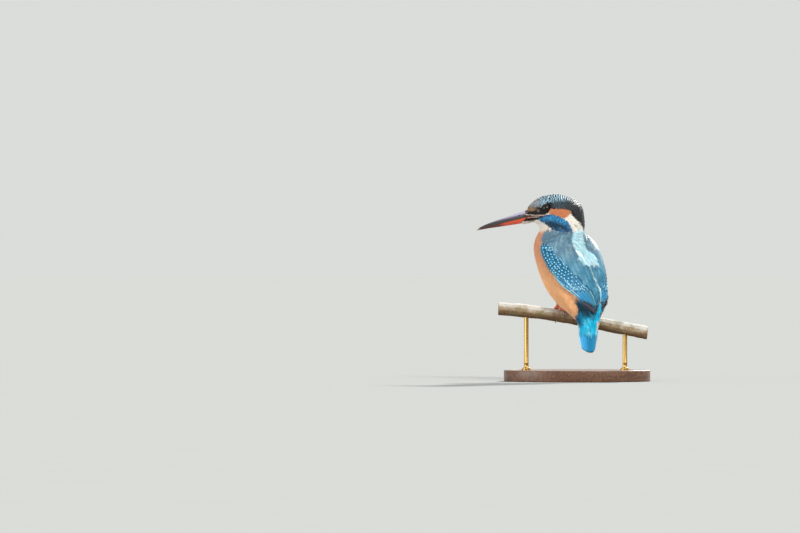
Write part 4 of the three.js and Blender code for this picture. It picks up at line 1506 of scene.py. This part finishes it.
def make_malar_feathers():
    """Blue feathers of the stripe under the cheek, with bright bars above and a dark lower edge."""
    surface = skin_surface()
    random = random_for("malar")
    coat = Coat()

    def blue_cheek(points, normals):
        _, malar, _, bill = head_masks(points)
        return malar * (1 - bill)

    roots, normals = surface.scatter(blue_cheek, 0.72, random)
    forward, _, height = head_axes(roots)
    reach = 2.6 * varied(random, 0.9, 1.15, roots) * (1 - 0.3 * smooth(8, 14, forward))
    lie = lie_of(roots, normals)
    lines, outs = short_lines(surface, roots, normals, lie, reach, 0.75, 6)
    border = np.interp(forward, [-10, -6, 0, 6, 10, 14], [66.2, 68.2, 70.2, 71.9, 71.8, 71])
    upper = smooth(-2.6, 0.4, height - border)
    strength = (0.04 + 0.9 * upper) * varied(random, 0.6, 1.0, roots)
    ground = layered(tone("malar") * MALAR_SHADOW, upper, tone("malar"))
    vanes(coat, lines, outs, 0.72, random, ground, tone("malar_bar"), strength, camber=0.25, tip_curve=0.35,
          tip_width=0.8)
    coat.make("coat_malar", "plumage_head", barred_finish())


BREAST_BANDS = (("belly", -20.0, 19.0), ("breast", 19.0, 41.0), ("chest", 41.0, 66.0))  # from and to a height


def make_breast_feathers():
    """Soft feathers of the belly, breast and chest, and the fluff of the right flank."""
    surface = body_surface()
    for name, low, high in BREAST_BANDS:
        random = random_for(name)
        coat = Coat()

        def soft_body(points, normals):
            height = points[:, 2]
            band = (height >= low) & (height < high)
            cover = (1 - wing_mask(points, 1.5)) * (1 - stripe_mask(points)) * (1 - rump_mask(points))
            crown, malar, _, _ = head_masks(points)
            face = np.maximum(crown, malar) * smooth(61, 62, height)
            on_tail = smooth(STUMP_END + 0.6, STUMP_END, height)
            return band * cover * bare_feet(points) * (1 - face) * (1 - on_tail) * smooth(66, 62, height)

        roots, normals = surface.scatter(soft_body, 0.88, random)
        height = roots[:, 2]
        lower = smooth(4, -6, height)
        upper = smooth(54, 64, height)
        reach = mm("breast_plume") * (1 - 0.35 * lower - 0.3 * upper) * varied(random, 0.85, 1.15, roots)
        lift = (1.4 - 0.4 * upper - 0.6 * lower) * varied(random, 0.9, 1.15, roots)
        lie = lie_of(roots, normals)
        plumes(coat, surface, roots, normals, lie, reach, mm("barb"), lift, random)
        coat.make(f"coat_{name}", "plumage_breast", soft_finish())
    make_flank(surface)


def make_flank(surface):
    """Loose fluff of the right flank, which stands out from under the wing; its white is partly painted
    highlight.
    """
    random = random_for("flank")
    coat = Coat()

    def right_flank(points, normals):
        angle, height = body_axes(points)
        band = smooth(-62, -66, angle) * smooth(-96, -88, angle)
        return band * smooth(-3, 0, height) * smooth(17, 11, height)

    roots, normals = surface.scatter(right_flank, 1.25, random)
    lie = lie_of(roots, normals)
    # White with a little orange: partly the fluff's own colour, partly a painted highlight of backlight.
    colours = layered(tone("throat"), 0.35 * random.random(len(roots)), tone("belly"))
    reach = 5.4 * varied(random, 0.8, 1.2, roots)
    lift = 1.9 * varied(random, 0.8, 1.2, roots)
    plumes(coat, surface, roots, normals, lie, reach, mm("barb"), lift, random, colours, strands=7, fan=0.3)
    coat.make("coat_flank", "plumage_breast", soft_finish())


LINE_FEATHERS = 230


def make_back_feathers():
    """Silky feathers of the stripe down the back, which narrows to a line between the wings."""
    surface = skin_surface()
    random = random_for("back")
    coat = Coat()
    roots, normals = surface.scatter(lambda p, n: stripe_mask(p) * smooth(3, 5, p[:, 2]), 0.85, random)
    angle, height = body_axes(roots)
    reach = mm("back_plume") * varied(random, 0.8, 1.2, roots) * (1 - 0.35 * smooth(54, 62, height))
    lift = 1.6 * varied(random, 0.85, 1.2, roots)
    lie = tangent(lie_of(roots, normals) * 0.35 + np.array([-0.12, 0.35, -1.0]), normals)
    bright = 0.55 * (random.random(len(roots)) > 0.6) * smooth(10, 30, height)
    colours = layered(shown_colours(roots, lie, reach, 0.4), bright, paint(236, 252, 255))
    plumes(coat, surface, roots, normals, lie, reach, 1.35 * mm("barb"), lift, random, colours,
           strands=7, fan=0.28, ragged=0.3)
    # The line lies on top of the shoulder feathers.
    stations = np.linspace(0, 1, LINE_FEATHERS)
    angle, height = (np.interp(stations * (len(LINE) - 1), range(len(LINE)), row) for row in zip(*LINE))
    angle = angle + random.normal(0, 1.3, len(stations)) * (0.7 + 0.6 * stations)
    roots, normals = surface.at(angle, height)
    lie = tangent(np.array([-0.22, 0.3, -1.0]) + 0 * normals, normals)
    reach = 5.8 * varied(random, 0.8, 1.2, roots)
    colours = layered(np.array(paint(204, 246, 255)), smooth(0.3, 1.0, stations), tone("rump"))
    plumes(coat, surface, roots, normals, lie, reach, 1.7 * mm("barb"), 2.2, random, colours,
           fan=0.1, ragged=0.3, rise=0.5)
    coat.make("coat_back", "plumage_breast", silk_finish())


def make_rump_feathers():
    """Long azure feathers from the rump over the root of the tail."""
    surface = body_surface()
    random = random_for("rump")
    coat = Coat()

    def over_tail(points, normals):
        low = -5.0 - 2.6 * smooth(9, 3, np.abs(points[:, 0]))
        return rump_mask(points) * smooth(low - 1, low + 2.5, points[:, 2]) * (1 - wing_mask(points, 2))

    roots, normals = surface.scatter(over_tail, 0.85, random)
    height = roots[:, 2]
    reach = 9.5 * varied(random, 0.6, 1.15, roots) * (1 - 0.3 * smooth(-3, -9, height))
    lie = tangent(np.array([0.0, 0.1, -1.0]) - 0.03 * roots * (1, 0, 0), normals)
    lift = (0.7 + 0.7 * smooth(-8, 2, height)) * varied(random, 0.7, 1.3, roots)
    colours = shown_colours(roots, lie, reach, 0.3)
    middle = np.exp(-(((roots @ ALONG - 7.5) / 3.2) ** 2)) * smooth(5, 2, height)
    colours = layered(colours, 0.6 * middle * (random.random(len(roots)) > 0.66), tone("azure"))
    plumes(coat, surface, roots, normals, lie, reach, 1.2 * mm("barb"), lift, random, colours,
           strands=7, fan=0.2, ragged=0.35, rise=1.6)
    coat.make("coat_rump", "plumage_tail", silk_finish())


def make_shoulder_feathers():
    """Scapulars: long loose grey-blue feathers from the shoulders down over both wings."""
    surface = skin_surface()
    for side, name in SIDE_NAMES.items():
        random = random_for("shoulder" + name)
        coat = Coat()

        def shoulder(points, normals):
            angle, height = body_axes(points)
            return inside(angle * side, height, SCAPULARS, 0.8) * (1 - stripe_mask(points))

        roots, normals = surface.scatter(shoulder, 0.78, random)
        angle, height = body_axes(roots)
        reach = 8.0 * varied(random, 0.75, 1.2, roots) * (1 - 0.45 * smooth(50, 62, height))
        lie = lie_of(roots, normals)
        lie = tangent(lie + 0.5 * np.array([0.0, 0.35, -1.0]), normals)
        tip_angle, tip_height = body_axes(roots + lie * (reach * 0.9)[:, None])
        kept = inside(tip_angle * side, tip_height, SCAPULARS, 1.2) > random.random(len(roots))
        roots, normals, lie, reach = roots[kept], normals[kept], lie[kept], reach[kept]
        angle, height = angle[kept], height[kept]
        streak = np.sin(angle * 0.42 + height * 0.16) * np.sin(angle * 0.23 - height * 0.3)
        colours = shown_colours(roots, lie, reach, 0.3)
        colours = layered(colours, 0.2 * smooth(0.1, 0.9, streak), tone("azure"))
        colours = layered(colours, 0.4 * smooth(0.0, -0.9, streak), tone("covert"))
        lift = varied(random, 0.85, 1.2, roots)
        plumes(coat, surface, roots, normals, lie, reach, 1.25 * mm("barb"), lift, random, colours,
               strands=7, fan=0.17, ragged=0.3)
        coat.make(f"scapulars_{name}", "plumage_wing", silk_finish())


# ---------------- the wings
DEGREE = 0.38  # millimetres along the wing's surface for each degree round the body
PRIMARIES = 7
SECONDARIES = 10
COVERT_ROWS = 11
GREAT_COVERTS = [(59, 21), (54, 20), (49, 20), (44, 20.5), (39, 20.5), (34, 21), (29, 21.5), (24, 21)]


def offset_row(inset, spacing, stagger):
    """Angles and heights of feather tips along a row that runs inside the wing's lower edge."""
    edge = WING_OUTER[(WING_OUTER[:, 0] >= 11) & (WING_OUTER[:, 0] <= 56)]
    flat = np.stack([edge[:, 1] * DEGREE, edge[:, 0]], axis=1)
    run = np.concatenate([[0], np.cumsum(np.linalg.norm(np.diff(flat, axis=0), axis=1))])
    stations = np.arange(spacing * (0.5 + 0.5 * stagger), run[-1], spacing)
    x = np.interp(stations, run, flat[:, 0])
    y = np.interp(stations, run, flat[:, 1])
    slope = np.gradient(np.stack([x, y], axis=1), axis=0)
    slope = slope / np.linalg.norm(slope, axis=1, keepdims=True)
    return (x - slope[:, 1] * inset) / DEGREE, y + slope[:, 0] * inset


def wing_line(surface, tip, rise, lean, rows, lift_root, lift_tip):
    """The middle line of a feather that ends at an angle and a height and starts higher up the wing."""
    angle, height = tip
    s = np.linspace(0, 1, rows)
    hit, out = surface.at(angle + lean * (1 - s + 0.12 * np.sin(s * math.pi)), height + rise * (1 - s))
    for _ in range(2):
        hit[1:-1] = (hit[:-2] + 2 * hit[1:-1] + hit[2:]) / 4
        out[1:-1] = unit(out[:-2] + 2 * out[1:-1] + out[2:])
    line = hit + out * (lift_root + (lift_tip - lift_root) * s)[:, None]
    return line[None], out[None]


def make_flight_feathers(surface, side, random):
    """Primaries and secondaries of one wing."""
    flight = Coat()
    # Primaries: dark tips under everything else.
    for t in np.linspace(0, 1, PRIMARIES):
        tip = side * (44 - 38 * t + (12 * (1 - t) if side < 0 else 0)), 9.2 - 5.0 * t
        lines, outs = wing_line(surface, tip, 15 - 2 * t, side * 22, 22, -0.45, 0.25 + 0.1 * t)
        vanes(flight, lines, outs, 2.5, random, tone("primary"), paint(92, 84, 88), 0.6, columns=7,
              camber=0.1, thick=0.2, tip_width=0.5, jag=0.012, patch=0.02)
    # Secondaries, each over the one outside it, then the tertials nearest the spine.
    for k, t in enumerate(np.linspace(0, 1, SECONDARIES)):
        tip = side * (58 - 52 * t), 15.5 - 6.2 * t
        lines, outs = wing_line(surface, tip, 23.0, side * (30 + 8 * t), 26, 0.15, 0.45 + 0.45 * t)
        inner = smooth(0.55, 1.0, t)
        # Every other secondary darker, as painted shade between the long vanes.
        shade = ((1 - inner) * tone("secondary") + inner * tone("scapular")) * (0.78 if k % 2 else 1.06)
        vanes(flight, lines, outs, 2.5, random, shade, tone("covert_spot"), 0.75, columns=9, camber=0.14,
              thick=0.22, tip_width=0.55, jag=0.01, patch=0.02)
    finish = plumage("edged plumage", 0.4, edge=0.45, barbs=0.18, shaft=0.4, root_down_and_shade=0.8)
    flight.make(f"flight_feathers_{SIDE_NAMES[side]}", "plumage_wing", finish)


def make_coverts(surface, side, random):
    """Small coverts of one wing, in rows along its lower edge, and the greater coverts under them."""
    coverts = Coat()
    for k in reversed(range(COVERT_ROWS)):
        angles, heights = offset_row(0.8 + k * mm("covert_row") * 0.92, 2.15, k % 2)
        border = np.interp(heights, [20, 26, 30, 36, 45, 50, 56], [30, 37, 42, 48, 58, 64, 74])
        kept = (angles > border) & (heights > 19) & (heights < 53.5)
        angles, heights = angles[kept], heights[kept]
        if not len(angles):
            continue
        angles = angles + random.uniform(-0.9, 0.9, len(angles))
        heights = heights + random.uniform(-0.3, 0.3, len(heights))
        tips, normals = surface.at(side * angles, heights)
        lie = lie_of(tips, normals)
        reach = 4.7 * varied(random, 0.92, 1.08, tips)
        roots, normals = surface.nearest(tips - lie * reach[:, None])
        lie = tangent(tips - roots, normals)
        lines, outs = short_lines(surface, roots, normals, lie, reach, 0.55 + 0.06 * k, 8)
        strength = varied(random, 0.7, 1.0, roots)
        vanes(coverts, lines, outs, 1.5, random, tone("covert"), tone("covert_spot"), strength, columns=7,
              camber=0.22, thick=0.16, tip_curve=0.55, jag=0.03, patch=0.008)
    for k, (angle, height) in enumerate(GREAT_COVERTS):
        tip = side * angle, height - 1.1 * (k % 2)
        lines, outs = wing_line(surface, tip, 11.0, side * 15, 14, 0.2, 0.62)
        shade = (0.6 if k % 2 else 0.75) * tone("secondary")
        vanes(coverts, lines, outs, 2.1, random, shade, tone("covert_spot"), 0.5, columns=7, camber=0.2,
              thick=0.16, tip_curve=0.8, tip_width=0.5, jag=0.02, patch=0.01)
    finish = plumage("spotted plumage", 0.48, bar=(0.82, 0.115, 0.36), barbs=0.2, shaft=0.25, root_down_and_shade=0.6)
    coverts.make(f"coverts_{SIDE_NAMES[side]}", "plumage_wing", finish)


def make_wing(side):
    surface = skin_surface()
    random = random_for("wing" + SIDE_NAMES[side])
    make_flight_feathers(surface, side, random)
    make_coverts(surface, side, random)


# ---------------- the tail
TAIL_TIP = -23.4
TAIL_ROOT = 3.0
TAIL_PLACE = 15.6
TAIL_PAIRS = 6


def make_tail():
    random = random_for("tail")
    coat = Coat()
    s = np.linspace(0, 1, 26)
    for k in reversed(range(TAIL_PAIRS)):
        t = k / (TAIL_PAIRS - 1)
        for side in (1, -1):
            tip_x = side * (0.9 + 4.6 * t**1.2)
            tip_z = TAIL_TIP + 2.6 * t**2
            x = tip_x * (1.5 - 0.72 * s)
            z = TAIL_ROOT + (tip_z - TAIL_ROOT) * s
            y = TAIL_PLACE + 1.0 - 0.24 * k + 0.5 * s - 0.8 * t * t + 0.05 * side
            line = np.stack([x, y, z], axis=1)[None]
            out = np.tile(unit(np.array([side * 0.35 * t, 1.0, 0.05])), (1, len(s), 1))
            shade = tone("tail") * (1.15 if k else 0.72)
            # Outer pairs paler, the outermost with a strong pale edge, as painted highlight; the others'
            # faint edges are their own.
            shade = shade + (tone("azure") - shade) * (0.38 * t**5)
            pale_edge_and_highlight = 0.9 if t == 1 else 0.12
            vanes(coat, line, out, 2.9 - 0.3 * t, random, shade, tone("azure"), pale_edge_and_highlight, columns=11,
                  camber=0.06, thick=0.18, tip_width=0.8, tip_curve=0.45, jag=0.006, root_width=0.5,
                  full_at=0.6, patch=0.03)
    finish = plumage("tail plumage", 0.4, edge=0.3, barbs=0.16, shaft=0.75, root_down_and_shade=0.85)
    coat.make("tail_feathers", "plumage_tail", finish, "tail")


# ---------------- perch and stand
def bark_build(start, places):
    top, from_axis, cut = start.attribute("bark", "Vector").parts()
    coarse = places.noise(160, 5)
    fine = places.noise(700, 5)
    lichen = places.noise(90, 4)
    # Paler where the bark faces up, darker where it faces down: partly bleaching, partly painted light and
    # shade.
    base = (coarse * 0.6 + fine * 0.4 + top * 0.42 - 0.06).ramp(
        (0.22, paint(104, 80, 54)), (0.5, tone("bark")), (0.75, paint(192, 189, 182))
    )
    base = base.blend(lichen.step(0.5, 0.7) * 0.6, paint(92, 92, 60))
    rings = (from_axis * 62).wave()
    end = (rings * 0.7 + fine * 0.3).ramp((0.0, paint(168, 138, 96)), (1.0, paint(206, 180, 136)))
    height = (coarse + fine * 0.6) * (1 - cut) + rings * cut * 0.3
    base = base.blend(cut, end)
    return {"Base_Color": base, "Roughness": 0.75 + 0.2 * fine, "Normal": height.bump(0.9, 0.0006)}


PERCH_RADIUS = 4.3
PERCH_GRAIN = 0.36
LEAF_SCARS = (-47, -29.5, -3, 14, 27, 43)  # places along the perch
SWELL = 0.45  # how much thicker the perch is on its left


def make_perch():
    perch = copy_of_nodes("perch_branch", ["perch"])
    remesh(perch, PERCH_GRAIN, 12)
    surface = Surface(perch, soften=3)
    along, across, height = perch_axes(surface.points)
    around = np.arctan2(across, height)
    wrinkle = np.zeros(len(along))
    random = random_for("perch")
    for octave in range(1, 6):
        turns = random.integers(1, 3 + 3 * octave, 5)
        pitch = random.uniform(0.05, 0.12, 5) * octave**1.5
        start = random.uniform(0, 2 * math.pi, 5)
        for n, p, c in zip(turns, pitch, start):
            wrinkle += np.sin(n * around + p * along * 3 + c) / octave**1.3
    wavy = along + 0.4 * np.sin(around * 2)
    scars = sum(np.exp(-(((wavy - place) / 0.35) ** 2)) for place in LEAF_SCARS)
    move = np.minimum(0.045 * wrinkle + 0.16 * scars, 0.24)
    end = smooth(1.2, 0.5, np.min([np.abs(along - place) for place in PERCH_ENDS], axis=0))
    cut = end * (np.abs(surface.normals @ ALONG) > 0.8)
    outward = (across[:, None] * ACROSS + height[:, None] * UP) / PERCH_RADIUS
    points = surface.points + SWELL * smooth(-20, -32, along)[:, None] * outward
    set_bird_points(perch, points + surface.normals * (move * (1 - end))[:, None])
    # How far the bark faces up: paler tops and darker undersides, partly bleaching, partly painted light and
    # shade.
    set_vector(perch, "bark", np.stack([surface.normals[:, 2], np.hypot(across, height) / 5, cut], axis=1))
    activate(perch)
    bpy.ops.object.shade_smooth()
    place(perch, "bark", material("bark", bark_build, Specular_IOR_Level=0.3), "perch")


def wood_build(start, places):
    turned = places.node("ShaderNodeMapping", {}, {"Vector": places, "Rotation": (0, 0, PERCH_TURN)})
    swirl = turned.noise(60, 3, (1.0, 0.18, 1.0))
    fine = turned.noise(900, 3, (1.0, 0.06, 1.0))
    grain = (swirl * 14 + fine * 0.4).fraction()
    wood = tone("wood")
    base = (grain * 0.75 + fine * 0.25).ramp((0.0, 0.55 * wood), (0.5, wood), (1.0, 1.7 * wood))
    bump = (fine + grain * 0.3).bump(0.2, 0.0003)
    return {"Base_Color": base, "Roughness": 0.34 + 0.22 * fine, "Normal": bump}


def brass_build(start, places):
    fine = places.noise(300, 3, (1, 1, 8))
    base = fine.ramp((0.3, 0.8 * tone("brass")), (0.7, tone("brass")))
    return {"Base_Color": base, "Roughness": 0.2 + 0.2 * fine, "Normal": fine.bump(0.08, 0.0001)}


BASE_LENGTH = 104.0
BASE_WIDTH = 66.0
# Insets of the base's top, each with how much higher it lies: a rim and a groove.
BASE_INSETS = ((5.5, 0.0), (0.5, -0.45), (0.6, 0.45))
ROD_FOOT = [
    (3.4, 0.7), (3.2, 1.0), (2.5, 1.15), (2.4, 1.7), (1.9, 1.95), (1.6, 2.5), (1.6, 4.5), (1.7, 4.7),
    (1.7, 5.3), (1.6, 5.5),
]  # radius and height


def make_base():
    low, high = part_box("stand_base")
    thick = high.z - low.z
    deselect()
    bpy.ops.mesh.primitive_cylinder_add(
        vertices=160, radius=1, depth=1, location=(0, 0, thick / 2),
        rotation=(0, 0, math.pi / 2 + PERCH_TURN), scale=(BASE_LENGTH / 2 * MM, BASE_WIDTH / 2 * MM, thick),
    )
    base = settle("display_base")
    edit(base, False)
    mesh = bmesh.from_edit_mesh(base.data)
    for face in mesh.faces:
        face.select = len(face.verts) > 4 and face.normal.z > 0.9
    bmesh.update_edit_mesh(base.data)
    for inset, rise in BASE_INSETS:
        bpy.ops.mesh.inset(thickness=inset * MM, depth=rise * MM)
    finish_edit()
    apply_modifier(
        base, "BEVEL", width=1.3 * MM, segments=5, limit_method="ANGLE", angle_limit=math.radians(60)
    )
    activate(base)
    bpy.ops.object.shade_smooth_by_angle(angle=math.radians(35))
    finish = material("oiled wood", wood_build, Coat_Weight=0.3, Coat_Roughness=0.25)
    place(base, "stand_wood", finish, "stand_base")


def make_rod(number, along):
    node = f"stand_rod_{number}"
    low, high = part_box(node)
    top = (high.z - low.z) / MM
    x, y, _ = ALONG * along * MM
    radius, _ = ROD_FOOT[0]
    deselect()
    bpy.ops.mesh.primitive_circle_add(
        vertices=56, radius=radius * MM, fill_type="NGON", location=(x, y, low.z)
    )
    rod = settle(f"display_rod_{number}")
    edit(rod)
    at = 0.0
    for next_radius, next_at in (*ROD_FOOT, (1.6, top - 0.4), (1.2, top)):
        bpy.ops.mesh.extrude_region_move(TRANSFORM_OT_translate={"value": (0, 0, (next_at - at) * MM)})
        scale = next_radius / radius
        bpy.ops.transform.resize(value=(scale, scale, 1), center_override=(x, y, low.z + next_at * MM))
        radius = next_radius
        at = next_at
    finish_edit()
    face_outwards(rod)
    bpy.ops.object.shade_smooth_by_angle(angle=math.radians(30))
    place(rod, "stand_brass", material("brass", brass_build, Metallic=1.0), node)


# ---------------- stage
def floor_build(start, places):
    fine = places.noise(30, 4)
    base = fine.ramp((0.3, paint(153, 155, 155)), (0.7, paint(154, 156, 156)))
    return {"Base_Color": base, "Roughness": 0.85 + 0.1 * fine}


def sun(name, comes_from, width, strength, warmth):
    """A wide soft light from far away in a direction, as through a large sheet of diffusing cloth."""
    light = bpy.data.lights.new(name, "SUN")
    light.angle = math.radians(width)
    light.energy = strength
    light.color = warmth
    lamp = bpy.data.objects.new(name, light)
    bpy.context.scene.collection.objects.link(lamp)
    lamp.rotation_euler = (-Vector(comes_from)).to_track_quat("-Z", "Y").to_euler()


FRAME_LEFT = 125.7  # how far the middle of the picture lies left of the bird
FRAME_UP = 37.5
CAMERA_RAISED = 60.0  # how far the camera stands higher than what it looks at


def make_studio():
    deselect()
    bpy.ops.mesh.primitive_circle_add(vertices=96, radius=7.0, fill_type="NGON")
    floor = bpy.context.object
    floor.name = "floor"
    floor.data.materials.append(material("floor", floor_build, Specular_IOR_Level=0.0))

    world = bpy.data.worlds.new("studio")
    world.use_nodes = True
    background = world.node_tree.nodes["Background"]
    background.inputs["Color"].default_value = (0.98, 1.0, 0.97, 1)
    background.inputs["Strength"].default_value = 0.72
    bpy.context.scene.world = world

    right = Vector(ALONG)
    near = Vector(ACROSS)
    high = Vector(UP)
    sun("rim", right * 0.5 - near * 1.0 + high * 0.75, 6, 5.6, (1.0, 0.97, 0.92))
    sun("key", right * 0.5 + near * 0.9 + high * 0.8, 16, 2.1, (1.0, 0.99, 0.96))
    sun("fill", near * 0.5 - right * 0.85 + high * 0.12, 40, 1.9, (1.0, 0.98, 0.95))

    lens = bpy.data.cameras.new("camera")
    lens.lens = 400
    lens.sensor_width = 36
    lens.clip_end = 100
    camera = bpy.data.objects.new("camera", lens)
    bpy.context.scene.collection.objects.link(camera)
    target = high * (PERCH_HEIGHT + FRAME_UP) * MM - right * FRAME_LEFT * MM
    camera.location = target + near * sizes().camera_distance + high * CAMERA_RAISED * MM
    camera.rotation_euler = (target - camera.location).to_track_quat("-Z", "Y").to_euler()
    bpy.context.scene.camera = camera
    bpy.context.scene.view_settings.view_transform = "Standard"


# ---------------- the add-on
class KINGFISHER_OT_skin(bpy.types.Operator):
    """Make the one skin inside the coat, with its scaled feet"""

    bl_idname = "kingfisher.skin"
    bl_label = "Skin and Feet"

    def execute(self, context):
        make_skin()
        return {"FINISHED"}


class KINGFISHER_OT_eyes(bpy.types.Operator):
    """Make the two eyes and their lids"""

    bl_idname = "kingfisher.eyes"
    bl_label = "Eyes"

    def execute(self, context):
        make_eyes()
        return {"FINISHED"}


class KINGFISHER_OT_bill(bpy.types.Operator):
    """Make the two mandibles"""

    bl_idname = "kingfisher.bill"
    bl_label = "Bill"

    def execute(self, context):
        make_bill()
        return {"FINISHED"}


class KINGFISHER_OT_claws(bpy.types.Operator):
    """Make the eight claws"""

    bl_idname = "kingfisher.claws"
    bl_label = "Claws"

    def execute(self, context):
        make_claws()
        return {"FINISHED"}


class KINGFISHER_OT_face(bpy.types.Operator):
    """Lay the soft feathers of cheeks and throat"""

    bl_idname = "kingfisher.face"
    bl_label = "Face Feathers"

    def execute(self, context):
        make_face_feathers()
        return {"FINISHED"}


class KINGFISHER_OT_crown(bpy.types.Operator):
    """Lay the barred feathers of crown and nape"""

    bl_idname = "kingfisher.crown"
    bl_label = "Crown Feathers"

    def execute(self, context):
        make_crown_feathers()
        return {"FINISHED"}


class KINGFISHER_OT_malar(bpy.types.Operator):
    """Lay the blue feathers under the cheek"""

    bl_idname = "kingfisher.malar"
    bl_label = "Malar Feathers"

    def execute(self, context):
        make_malar_feathers()
        return {"FINISHED"}


class KINGFISHER_OT_breast(bpy.types.Operator):
    """Lay the soft feathers of breast, belly and flank"""

    bl_idname = "kingfisher.breast"
    bl_label = "Breast Feathers"

    def execute(self, context):
        make_breast_feathers()
        return {"FINISHED"}


class KINGFISHER_OT_back(bpy.types.Operator):
    """Lay the silky feathers down the back"""

    bl_idname = "kingfisher.back"
    bl_label = "Back Feathers"

    def execute(self, context):
        make_back_feathers()
        return {"FINISHED"}


class KINGFISHER_OT_rump(bpy.types.Operator):
    """Lay the long azure feathers over the tail's root"""

    bl_idname = "kingfisher.rump"
    bl_label = "Rump Feathers"

    def execute(self, context):
        make_rump_feathers()
        return {"FINISHED"}


class KINGFISHER_OT_shoulders(bpy.types.Operator):
    """Lay the loose feathers of both shoulders"""

    bl_idname = "kingfisher.shoulders"
    bl_label = "Shoulder Feathers"

    def execute(self, context):
        make_shoulder_feathers()
        return {"FINISHED"}


class KINGFISHER_OT_wings(bpy.types.Operator):
    """Lay the coverts and the long feathers of both wings"""

    bl_idname = "kingfisher.wings"
    bl_label = "Wings"

    def execute(self, context):
        for side in SIDE_NAMES:
            make_wing(side)
        return {"FINISHED"}


class KINGFISHER_OT_tail(bpy.types.Operator):
    """Make the tail feathers"""

    bl_idname = "kingfisher.tail"
    bl_label = "Tail"

    def execute(self, context):
        make_tail()
        return {"FINISHED"}


class KINGFISHER_OT_perch(bpy.types.Operator):
    """Make the cut branch"""

    bl_idname = "kingfisher.perch"
    bl_label = "Perch"

    def execute(self, context):
        make_perch()
        return {"FINISHED"}


class KINGFISHER_OT_stand(bpy.types.Operator):
    """Make the base and its rods"""

    bl_idname = "kingfisher.stand"
    bl_label = "Stand"

    def execute(self, context):
        make_base()
        for k, along in enumerate(ROD_PLACES):
            make_rod(k + 1, along)
        return {"FINISHED"}


class KINGFISHER_OT_studio(bpy.types.Operator):
    """Make the floor, the lights and the camera"""

    bl_idname = "kingfisher.studio"
    bl_label = "Studio"

    def execute(self, context):
        make_studio()
        return {"FINISHED"}


OPERATORS = [
    KINGFISHER_OT_skin, KINGFISHER_OT_eyes, KINGFISHER_OT_bill, KINGFISHER_OT_claws, KINGFISHER_OT_face,
    KINGFISHER_OT_crown, KINGFISHER_OT_malar, KINGFISHER_OT_breast, KINGFISHER_OT_back, KINGFISHER_OT_rump,
    KINGFISHER_OT_shoulders, KINGFISHER_OT_wings, KINGFISHER_OT_tail, KINGFISHER_OT_perch,
    KINGFISHER_OT_stand, KINGFISHER_OT_studio,
]


class KINGFISHER_PT_panel(bpy.types.Panel):
    """Lists the pieces of the kingfisher."""

    bl_idname = "KINGFISHER_PT_panel"
    bl_label = "Kingfisher"
    bl_space_type = "VIEW_3D"
    bl_region_type = "UI"
    bl_category = "Kingfisher"

    def draw(self, context):
        for made in OPERATORS:
            self.layout.operator(made.bl_idname)
        for group in (context.scene.kingfisher_sizes, context.scene.kingfisher_colours):
            for name in group.bl_rna.properties.keys():
                if name not in ("rna_type", "name"):
                    self.layout.prop(group, name)


CLASSES = [KingfisherSizes, KingfisherColours, *OPERATORS, KINGFISHER_PT_panel]


def register():
    for made in CLASSES:
        bpy.utils.register_class(made)
    bpy.types.Scene.kingfisher_sizes = PointerProperty(type=KingfisherSizes)
    bpy.types.Scene.kingfisher_colours = PointerProperty(type=KingfisherColours)


def unregister():
    del bpy.types.Scene.kingfisher_colours
    del bpy.types.Scene.kingfisher_sizes
    for made in reversed(CLASSES):
        bpy.utils.unregister_class(made)


def main():
    register()
    for made in OPERATORS:
        getattr(bpy.ops.kingfisher, made.bl_idname.split(".")[1])()


if __name__ == "__main__":
    main()
